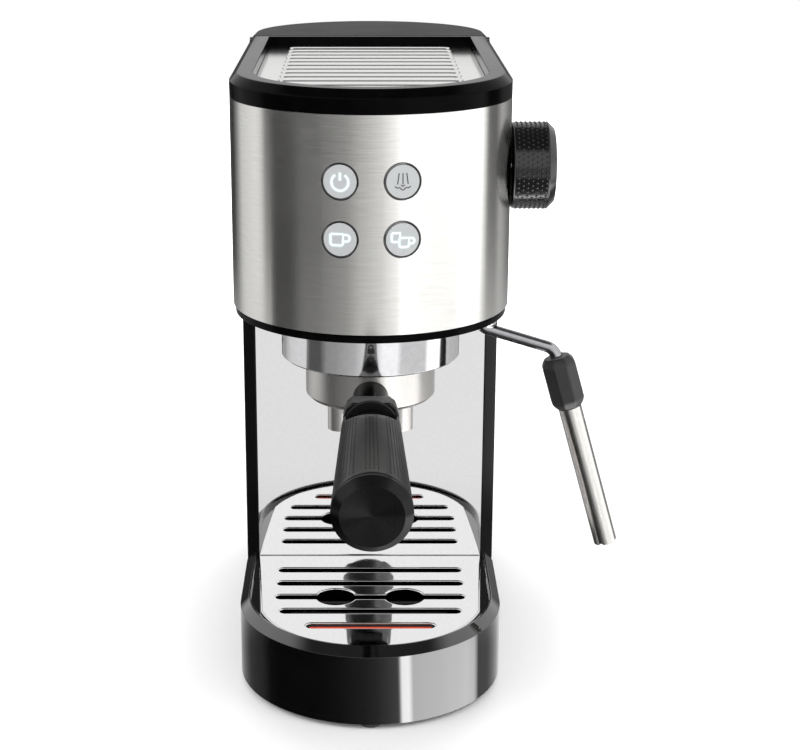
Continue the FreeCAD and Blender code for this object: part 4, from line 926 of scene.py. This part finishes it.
@dataclass
class Column:
    """Column shell, its mirror panel and the tank's cradle."""

    def dress(self) -> None:
        """Dresses the column."""
        dress(COLUMN_ABS, "column_shell", edge=0.3)
        dress(GLOSS_ABS, "tank_cradle", edge=0.3)
        dress(POLISHED_SHEET, "column_front_panel", edge=0.15)
        dress(MATTE_ABS, "tank_bay_wall", "cord_gland")
        dress(ZINC_SHEET, "inner_frame")
        log.info("column dressed")


# ------------------------------------------------------------------ head


@dataclass
class CupWarmer:
    """The ridged steel plate on the head.

    Attributes:
        sheet: Its thickness.
        count: Number of ridges.
        ridge_half: Half the length of a ridge.
        ridge_width: Width of a ridge.
        first: From the middle of the round front back to the first ridge's middle, negative forward.
        last: From the plate's back edge forward to the last ridge's middle.
        swell: How full a ridge is across, at its flanks and at its ends, as powers of its curve.
        sunk: How far the ridges are sunk in the plate.
        tip: Least width and height of a ridge's end, as a share of the full ones.
        steps: Divisions of a ridge across and along each end.
        round_steps: Divisions of the plate's round front.
    """

    sheet: float = 0.8
    count: int = 12
    ridge_half: float = 46.0
    ridge_width: float = 13.2
    first: float = -26.0
    last: float = 10.4
    swell: tuple[float, float, float] = (3.2, 0.7, 0.6)
    sunk: float = 0.3
    tip: float = 0.004
    steps: int = 12
    round_steps: int = 64

    def ridge(self, shape: Shape, middle: float, low: float, rise: float) -> None:
        """Adds one pressed ridge with rounded ends.

        Args:
            shape: Gets the ridge.
            middle: Its middle, from front to back.
            low: The plate's top face.
            rise: Its height.
        """
        nose = self.ridge_width * 0.5
        ends = [self.ridge_half - nose * (1 - math.sin(math.pi / 2 * k / self.steps))
                for k in range(self.steps + 1)]
        lines = [-x for x in reversed(ends)] + ends
        across = [2 * k / self.steps - 1 for k in range(self.steps + 1)]
        full, flank, end = self.swell
        rings: list[list[Point]] = []
        for x in lines:
            past = max(0.0, (abs(x) - (self.ridge_half - nose)) / nose)
            share = math.sqrt(max(0.0, 1 - past * past)) + self.tip
            crest = [(x, middle + u * nose * share,
                      low + rise * (1 - abs(u) ** full) ** flank * share ** end) for u in across]
            rings.append([(x, y, low - self.sunk) for x, y, _ in crest] + crest[::-1])
        shape.tube(rings)

    def build(self) -> None:
        """Builds the plate in place of the frame's plain one."""
        low, high = node_box("cup_warmer_plate")
        shape = Shape()
        outline = arc_stroke(0, GROUP.y, high.x, 180, 360, self.round_steps)
        outline += [(high.x, high.y), (-high.x, high.y)]
        shape.slab(outline, self.sheet, lambda x, y, z: (x, y, low.z + z))
        start, end = GROUP.y + self.first, high.y - self.last
        top = low.z + self.sheet
        for index in range(self.count):
            middle = start + (end - start) * index / (self.count - 1)
            self.ridge(shape, middle, top, high.z - top)
        plate = shape.piece("cup_warmer_ridged")
        shade_evenly(plate, 50, keep_sharp=True)
        settle(plate, "housing", PRESSED_SHEET, "brushed_steel", "cup_warmer_plate")


@dataclass
class Head:
    """Steel wrap, its floor, the gloss top ring and what is inside."""

    warmer: CupWarmer = field(default_factory=CupWarmer)

    def build(self) -> None:
        """Builds and dresses the head."""
        self.warmer.build()
        dress(BRUSHED_WRAP, "head_shell", edge=0)
        dress(RING_ABS, "head_bottom_trim", edge=0.3)
        dress(MATTE_ABS, "button_switches")
        dress(RING_ABS, "top_ring", edge=0.5)
        dress(ZINC_SHEET, "works_brackets")
        dress(BOARD_LACQUER, "control_board")
        dress(MACHINED_BRASS, "steam_valve", "solenoid_valve")
        dress(CAST_ALUMINIUM, "boiler_block")
        dress(WHITE_POM, "thermal_fuse", "flow_meter", "mains_terminal")
        dress(PUMP_NYLON, "pump")
        dress(SEAL_SILICONE, "pump_mounts")
        dress(HOSE_SILICONE, "water_hoses", edge=0)
        log.info("head dressed")


# ------------------------------------------------------------------ buttons


class Symbol(Enum):
    """What a button's symbol shows, and whether a light is behind it."""

    POWER = ("button_power", True)
    STEAM = ("button_steam", False)
    ONE_CUP = ("button_one_cup", True)
    TWO_CUPS = ("button_two_cups", True)

    @property
    def body(self) -> str:
        """The body, and node, that carries it."""
        return self.value[0]

    @property
    def lit(self) -> bool:
        """Whether it is lit."""
        return self.value[1]


@dataclass
class Buttons:
    """Four round buttons with their bezels and symbols.

    Attributes:
        line: Width of a symbol's lines.
        thin_line: Width of the steam symbol's lines.
        halo_line: Width of the light that spreads beside a lit symbol's lines.
        proud: How far the symbols stand off the discs.
        sink: How far they are sunk in them.
    """

    line: float = 1.0
    thin_line: float = 0.55
    halo_line: float = 1.9
    proud: float = 0.06
    sink: float = 0.1

    def cup(self, x: float, y: float, width: float, height: float) -> list[Stroke]:
        """Gives the strokes of a cup with a handle.

        Args:
            x: Its middle.
            y: Its bottom.
            width: Its width.
            height: Its height.

        Returns:
            The strokes.
        """
        side = width / 2
        corner = height * 0.25
        bowl = [(x - side, y + height), (x - side, y + height * 0.3)]
        bowl += arc_stroke(x - side + corner, y + corner, corner, 180, 270, 6)
        bowl += arc_stroke(x + side - corner, y + corner, corner, 270, 360, 6)
        bowl += [(x + side, y + height), (x - side, y + height)]
        handle = [(x + side, y + height * 0.95)]
        handle += arc_stroke(x + side + height * 0.3, y + height * 0.66, height * 0.29, 90, -90, 10)
        handle.append((x + side, y + height * 0.37))
        return [bowl, handle]

    def strokes(self, symbol: Symbol) -> list[Stroke]:
        """Gives the strokes of a symbol.

        Args:
            symbol: The symbol.

        Returns:
            Its strokes, about the middle of the disc.
        """
        if symbol is Symbol.POWER:
            return [arc_stroke(0, -0.3, 4.0, 123, 417, 28), [(0, 0.4), (0, 4.3)]]
        if symbol is Symbol.ONE_CUP:
            return self.cup(-1.6, -2.8, 6.0, 5.4)
        if symbol is Symbol.TWO_CUPS:
            return self.cup(-3.2, -1.0, 4.0, 4.2)[:1] + self.cup(0.8, -3.6, 4.6, 4.4)
        steam = [[(0.72 * way, 4.0), (way, -1.2)] for way in (-2.5, 0, 2.5)]
        half = [(0.9, -3.4), (1.6, -2.7), (2.6, -3.0), (3.8, -2.2)]
        froth = [(-x, y) for x, y in reversed(half)] + [(0.0, -4.0)] + half
        return steam + [froth, [(-0.9, -1.5), (0.0, -2.2), (0.9, -1.5)]]

    def ribbon(self, shape: Shape, stroke: Stroke, width: float, lay: Lay, proud: float) -> None:
        """Adds one stroke as a thin raised ribbon with square ends.

        Args:
            shape: Gets the ribbon.
            stroke: Its points.
            width: Its width.
            lay: Lays it on the disc.
            proud: How far the ribbon stands off the disc.
        """
        rings: list[list[Sequence[float]]] = []
        for index, spot in enumerate(stroke):
            before = Vector(stroke[max(index - 1, 0)])
            after = Vector(stroke[min(index + 1, len(stroke) - 1)])
            along = (after - before).normalized()
            aside = Vector((-along.y, along.x)) * width / 2
            right, left = Vector(spot) - aside, Vector(spot) + aside
            rings.append([lay(*right, -self.sink), lay(*left, -self.sink), lay(*left, proud),
                          lay(*right, proud)])
        shape.tube(rings)

    def build(self) -> None:
        """Builds the symbols and dresses the buttons."""
        for symbol in Symbol:
            low, high = node_box(symbol.body)
            joint = next(j for j in frame["joints"] if j["child"] == symbol.body)
            inward = Vector(joint["axis"])
            across = Vector((inward.y, -inward.x, 0))
            middle = Vector((0, GROUP.y, (low.z + high.z) / 2))
            face = self.face_reach(symbol.body, inward)

            def lay(x: float, y: float, z: float) -> Vector:
                """Puts a point of the disc's plane in the row frame."""
                return middle - inward * (face + z) + across * x + Vector((0, 0, y))

            name = symbol.name.lower()
            layers = [("symbol_" + name, SYMBOL_INK, self.thin_line, self.proud)]
            if symbol.lit:
                layers = [("symbol_" + name, LIT_SYMBOL, self.line, self.proud),
                          ("halo_" + name, LIT_HALO, self.halo_line, self.proud / 2)]
            for title, finish, width, proud in layers:
                shape = Shape()
                for stroke in self.strokes(symbol):
                    self.ribbon(shape, stroke, width, lay, proud)
                settle(shape.piece(title, smooth=False), symbol.body, finish, "button_grey")
            dress(BUTTON_PAINT, symbol.body, edge=0.25)
        dress(GLOSS_ABS, "button_bezels", edge=0.25)

    def face_reach(self, name: str, inward: Vector) -> float:
        """Gives the distance from the head's round axis to a button's face.

        Args:
            name: The button's node.
            inward: Which way it is pressed.

        Returns:
            The distance.
        """
        axis = Vector((0, GROUP.y, 0))
        spots = (v.co / MM - axis for v in frame["nodes"][name].data.vertices)
        return max(-spot.dot(inward) for spot in spots)


# ------------------------------------------------------------------ steam knob


@dataclass
class SteamKnob:
    """The round knob with its field of small studs.

    Attributes:
        chamfer: Width of the chamfer at its outer end.
        span: Where the studs start and end along it.
        columns: Studs along it.
        rows: Studs round it.
        stud: Side and height of a stud.
    """

    chamfer: float = 3.5
    span: tuple[float, float] = (2.6, 16.4)
    columns: int = 7
    rows: int = 52
    stud: tuple[float, float] = (1.25, 0.38)

    def build(self) -> None:
        """Builds the knob in place of the frame's plain one."""
        low, high = node_box("steam_knob")
        axis = joint_point("steam_knob_turn")
        proud = self.stud[1]
        radius = (high.z - low.z) / 2
        body = radius - proud
        length = high.x - low.x
        place = axis_place((low.x, axis.y, axis.z), (1, 0, 0))
        shape = Shape()
        end, flat = length - self.chamfer, radius - self.chamfer
        # Radius and distance of each ring: foot, studded part, plain ring, chamfer and sunk face.
        profile = ((3.05, 0.0), (body - 1.6, 0.0), (body - 0.5, 0.35), (body - 0.1, 0.9), (body, 1.3),
                   (body, 17.3), (radius, 17.7), (radius, end - 0.3), (radius - 0.15, end + 0.1),
                   (flat + 0.15, length - 0.15), (flat - 0.2, length), (flat - 2, length - 0.1),
                   (flat - 2.4, length - 0.6), (3.0, length - 0.6))
        shape.lathe(lambda angle: profile, place)
        first, last = self.span
        for row in range(self.rows):
            for column in range(self.columns):
                angle = FULL_TURN * (row + 0.5 * (column % 2)) / self.rows
                along = first + (last - first) * column / (self.columns - 1)
                shape.stud(*self.stud, place @ cone_place(angle, body, along))
        knob = shape.piece("steam_knob_studded")
        soften(knob, 0.06, 1, 40)
        settle(knob, "steam_knob", GLOSS_NYLON, "satin_black", "steam_knob")
        dress(BRIGHT_CHROME, "valve_spindle")


# ------------------------------------------------------------------ group and portafilter


@dataclass
class Group:
    """Collar with its printed lock symbols, group head, gasket and screen.

    Attributes:
        proud: How far the symbols stand off the collar.
        thick: Their thickness.
        level: Height of their middle, as a share of the collar's height.
        shackle: Inner and outer radius of a padlock's shackle.
        lift: How far the open shackle's free end is raised.
        locked_at: Bearing of the locked symbol, in degrees to the right of the front.
        unlocked_at: Bearing of the unlocked one.
    """

    proud: float = 0.05
    thick: float = 0.3
    level: float = 0.46
    shackle: tuple[float, float] = (0.75, 1.35)
    lift: float = 0.6
    locked_at: float = 0.0
    unlocked_at: float = -78.0

    def wrap(self, bearing: float, middle: float) -> Lay:
        """Gives the way to lay a flat symbol on the collar.

        Args:
            bearing: Where it goes, in degrees to the right of the front.
            middle: Height of its middle.

        Returns:
            A function from across, up and out to a point in the row frame.
        """
        low, high = node_box("group_collar")
        radius = (high.x - low.x) / 2

        def lay(x: float, y: float, z: float) -> Point:
            """Puts a point of the symbol on the collar."""
            angle = math.radians(bearing) + x / radius
            reach = radius + self.proud - self.thick + z
            return reach * math.sin(angle), GROUP.y - reach * math.cos(angle), middle + y

        return lay

    def padlock(self, shape: Shape, lay: Lay, open_by: float) -> None:
        """Adds a padlock over a triangle that points down.

        Args:
            shape: Gets the symbol.
            lay: Lays it on the collar.
            open_by: How far the shackle stands to the side.
        """
        foot, bend = 3.9, 4.6
        free = foot + (self.lift if open_by else 0.0)
        inner, outer = ([(open_by + radius, foot), *arc_stroke(open_by, bend, radius, 0, 180, 10),
                         (open_by - radius, free)] for radius in self.shackle)
        parts = [[(-1.7, 1.2), (1.7, 1.2), (1.7, foot), (-1.7, foot)]]
        parts += [[outer[k], outer[k + 1], inner[k + 1], inner[k]] for k in range(len(outer) - 1)]
        parts.append([(-1.9, -0.6), (0.0, -3.6), (1.9, -0.6)])
        for part in parts:
            shape.slab(part, self.thick, lay)

    def build(self) -> None:
        """Builds the symbols and dresses the group."""
        low, high = node_box("group_collar")
        middle = low.z + (high.z - low.z) * self.level
        for name, bearing, open_by in (("symbol_locked", self.locked_at, 0.0),
                                       ("symbol_unlocked", self.unlocked_at, 1.7)):
            shape = Shape()
            self.padlock(shape, self.wrap(bearing, middle), open_by)
            settle(shape.piece(name, smooth=False), "housing", BLACK_INK, "matte_black")
        dress(BRIGHT_CHROME, "group_collar", edge=0.35)
        dress(CAST_ALUMINIUM, "group_head")
        dress(SEAL_SILICONE, "group_gasket")
        dress(PRESSED_SHEET, "shower_screen")
        dress(ZINC_SCREW, "screen_screw")
        log.info("group dressed")


@dataclass
class Portafilter:
    """Cup, basket, spouts and the long handle.

    Attributes:
        tilt: How far the handle drops, in degrees.
        height: Height of the handle's axis at the cup's own axis.
        neck: Where the faceted neck starts and ends, from the cup's axis.
        neck_top: Corners of a quarter of its section, across and up.
        neck_swell: Its size at the cup, as a share of its size at the grip.
        rim: Radius and thickness of the neck's round rim.
        grip: Where the grip starts and ends.
        grip_radius: Its radius at each end.
        groove: Length, spread in degrees from the top, and depth of the thumb groove.
        groove_edge: Where it starts, its least length as a share, and how steeply its sides rise.
        step: Height and length of the step round it.
        inset: How far the grip's two ends lie in.
        cap_edge: Rings at the cap, each by how far they lie in and how far before the end.
        smooth_at: Bearing from the top, and half width, of the strips without studs, in degrees.
        pitch: Spacing of the studs along the grip and round it.
        bare: Lengths without studs: at the neck, past the groove, and at both ends together.
        stud: Side and height of a stud.
    """

    tilt: float = 2.9
    height: float = 167.6
    neck: tuple[float, float] = (59.5, 72.0)
    neck_top: tuple[tuple[float, float], ...] = ((13.5, 5.4), (12.0, 9.6), (9.2, 11.9))
    neck_swell: float = 0.97
    rim: tuple[float, float] = (13.4, 1.3)
    grip: tuple[float, float] = (72.0, 170.0)
    grip_radius: tuple[float, float] = (14.2, 18.0)
    groove: tuple[float, float, float] = (20.0, 64.0, 4.5)
    groove_edge: tuple[float, float, float] = (0.8, 0.42, 5.0)
    step: float = 0.5
    inset: float = 0.6
    cap_edge: tuple[tuple[float, float], ...] = ((0.05, 2.9), (0.02, 1.0), (0.6, 0.8), (0.6, 0.0))
    smooth_at: tuple[float, float] = (20.0, 4.5)
    pitch: tuple[float, float] = (2.3, 1.7)
    bare: tuple[float, float, float] = (1.5, 1.6, 6.0)
    stud: tuple[float, float] = (0.85, 0.13)

    def place(self, start: float) -> Matrix:
        """Lays a piece's own Z along the handle, from a distance out, with its Y upward."""
        tilt = math.radians(self.tilt)
        way = Vector((0, -math.cos(tilt), -math.sin(tilt)))
        spot = Vector((GROUP.x, GROUP.y, self.height)) + way * start
        return Matrix.Translation(spot) @ Matrix.Rotation(math.pi / 2 + tilt, 4, "X")

    def build_neck(self) -> None:
        """Builds the faceted neck and its round rim."""
        length = self.neck[1] - self.neck[0]
        radius, thick = self.rim
        quarter = list(self.neck_top)
        upper = quarter + [(-x, y) for x, y in reversed(quarter)]
        section = upper + [(-x, -y) for x, y in upper]
        near = self.neck_swell
        body = Shape()
        body.prism(section, ((near - 0.08, 0.0), (near, 0.9), (1.0, length - 1.2), (0.97, length - 0.3)),
                   self.place(self.neck[0]))
        neck = body.piece("handle_neck_faceted", smooth=False)
        soften(neck, 0.3, 3, 12)
        settle(neck, "portafilter", SATIN_NYLON, "satin_black", "handle_neck")
        # Radius and distance of each ring, round the rim's rounded edge.
        profile = ((radius - 1.2, length - thick), (radius - 0.3, length - thick + 0.1),
                   (radius, length - thick + 0.4), (radius, length - 0.4), (radius - 0.25, length - 0.1),
                   (radius - 0.8, length))
        ring = Shape()
        ring.lathe(lambda angle: profile, self.place(self.neck[0]))
        settle(ring.piece("handle_neck_rim"), "portafilter", SATIN_NYLON, "satin_black")

    def below_studs(self, reach: float) -> float:
        """Gives the grip's radius under its studs, at a distance along it."""
        small, large = self.grip_radius
        return small + (large - small) * reach / (self.grip[1] - self.grip[0]) - self.stud[1]

    def off_top(self, angle: float) -> float:
        """Gives the degrees from the handle's top to an angle round it, in radians from its X."""
        return abs((math.degrees(angle) + 90) % 360 - 180)

    def groove_end(self, angle: float) -> tuple[float, float]:
        """Gives the thumb groove behind the neck.

        Args:
            angle: Angle round the handle from its own X, in radians.

        Returns:
            How far the groove runs along the grip there, and its share of its full depth.
        """
        length, spread, _ = self.groove
        start, least, steep = self.groove_edge
        share = max(0.0, 1 - (self.off_top(angle) / spread) ** 2)
        depth = min(1.0, share * steep)
        return start + length * (least + (1 - least) * share) * depth, depth

    def grip_line(self, angle: float) -> list[tuple[float, float]]:
        """Gives the grip's profile at an angle, from the neck to the cap.

        Args:
            angle: Angle round the handle from its own X, in radians.

        Returns:
            Radius and distance of each ring.
        """
        length = self.grip[1] - self.grip[0]
        large = self.grip_radius[1]
        end, share = self.groove_end(angle)
        floor = self.below_studs(0) - self.inset - self.groove[2] * share
        line = [(floor, 0.0), (floor, end * 0.5), (floor, end - self.step / 2),
                (self.below_studs(end) - self.step, end)]
        first, last, steps = end + self.step, length - self.cap_edge[0][1] - self.step, 12
        reaches = [first + (last - first) * k / steps for k in range(steps + 1)]
        line += [(self.below_studs(reach), reach) for reach in reaches]
        return line + [(large - inward, length - before) for inward, before in self.cap_edge]

    def build_grip(self) -> None:
        """Builds the conical grip with its thumb groove and its rows of small studs."""
        length = self.grip[1] - self.grip[0]
        small, large = self.grip_radius
        place = self.place(self.grip[0])
        shape = Shape()
        shape.lathe(self.grip_line, place)
        around = 2 * int(FULL_TURN * (small + large) / 4 / self.pitch[1])
        slope = (large - small) / length
        centre, half = self.smooth_at
        start, past, ends = self.bare
        for row in range(int((length - ends) / self.pitch[0])):
            reach = start + row * self.pitch[0]
            for k in range(around):
                angle = FULL_TURN * k / around
                off_top = self.off_top(angle)
                aside = abs(min(off_top, 180 - off_top) - centre)
                if aside < half or reach < self.groove_end(angle)[0] + past:
                    continue
                on_grip = cone_place(angle, self.below_studs(reach), reach, slope)
                shape.stud(*self.stud, place @ on_grip)
        grip = shape.piece("handle_grip_studded")
        shade_evenly(grip)
        settle(grip, "portafilter", SATIN_NYLON, "satin_black", "handle_grip")

    def build(self) -> None:
        """Builds the handle and dresses the rest."""
        self.build_neck()
        self.build_grip()
        dress(SPUN_DISC, "handle_end_cap", edge=0.35)
        # The bolt gets the top ring's deep black, darker than the handle's nylon: painted shade for the
        # dark shadow over it at the cup.
        dress(RING_ABS, "handle_bolt")
        dress(SATIN_METAL, "portafilter_cup", edge=0.4)
        dress(SATIN_METAL, "portafilter_spout", edge=0.6)
        dress(PRESSED_SHEET, "filter_basket")
        dress(BRIGHT_CHROME, "basket_spring", edge=0)
        log.info("portafilter dressed")


# ------------------------------------------------------------------ wand, tank


@dataclass
class SteamWand:
    """Pipe, nut, octagonal rubber grip and frothing sleeve.

    Attributes:
        lean: Lean of the lower pipe, in degrees from upright.
        half: Half width of the grip across flats, at its middle and ends.
        length: Its length.
        nose: Length of the tapered part at each end.
        sides: Number of its flat sides.
    """

    lean: float = 16.0
    half: tuple[float, float] = (8.5, 6.2)
    length: float = 27.6
    nose: float = 3.4
    sides: int = 8

    def build(self) -> None:
        """Builds the grip and dresses the wand."""
        low, high = node_box("wand_grip")
        lean = math.radians(self.lean)
        along = Vector((math.sin(lean), 0, -math.cos(lean)))
        start = (low + high) / 2 - along * self.length / 2
        place = axis_place(start, along)
        wide, slim = self.half
        narrow = slim / wide
        turn = 360 / self.sides
        section = arc_stroke(0, 0, wide / math.cos(math.radians(turn / 2)), turn / 2, 360 - turn / 2,
                             self.sides - 1)
        tip = ((narrow, 0.0), (0.93, self.nose * 0.75), (1.0, self.nose * 1.25))
        rings = (*tip, *((scale, self.length - reach) for scale, reach in reversed(tip)))
        shape = Shape()
        shape.prism(section, rings, place)
        grip = shape.piece("wand_grip_faceted", smooth=False)
        soften(grip, 0.7, 4, 15)
        settle(grip, "steam_wand", GRIP_RUBBER, "grip_rubber", "wand_grip")
        dress(SHADED_PIPE_CHROME, "steam_pipe", edge=0)
        dress(BRIGHT_CHROME, "wand_nut", edge=0.4)
        dress(DRAWN_TUBE, "frother_sleeve", edge=0.12)
        log.info("wand dressed")


@dataclass
class WaterTank:
    """Smoke tank, its valve and its lid."""

    def dress(self) -> None:
        """Dresses the tank."""
        dress(TANK_SMOKE, "water_tank", edge=0.4)
        dress(LID_ABS, "tank_lid", edge=0.5)
        dress(BRIGHT_CHROME, "lid_hinge_pin", "tank_valve_spring", edge=0)
        dress(WHITE_POM, "tank_valve", "tank_coupler")
        dress(SEAL_SILICONE, "tank_seal", edge=0)
        log.info("tank dressed")


def main() -> None:
    """Builds the studio and every sub-assembly."""
    logging.basicConfig(level=logging.INFO, format="%(message)s")
    Studio().build()
    Base().build()
    Column().dress()
    Head().build()
    Buttons().build()
    SteamKnob().build()
    Group().build()
    Portafilter().build()
    SteamWand().build()
    WaterTank().dress()


if __name__ == "__main__":
    main()
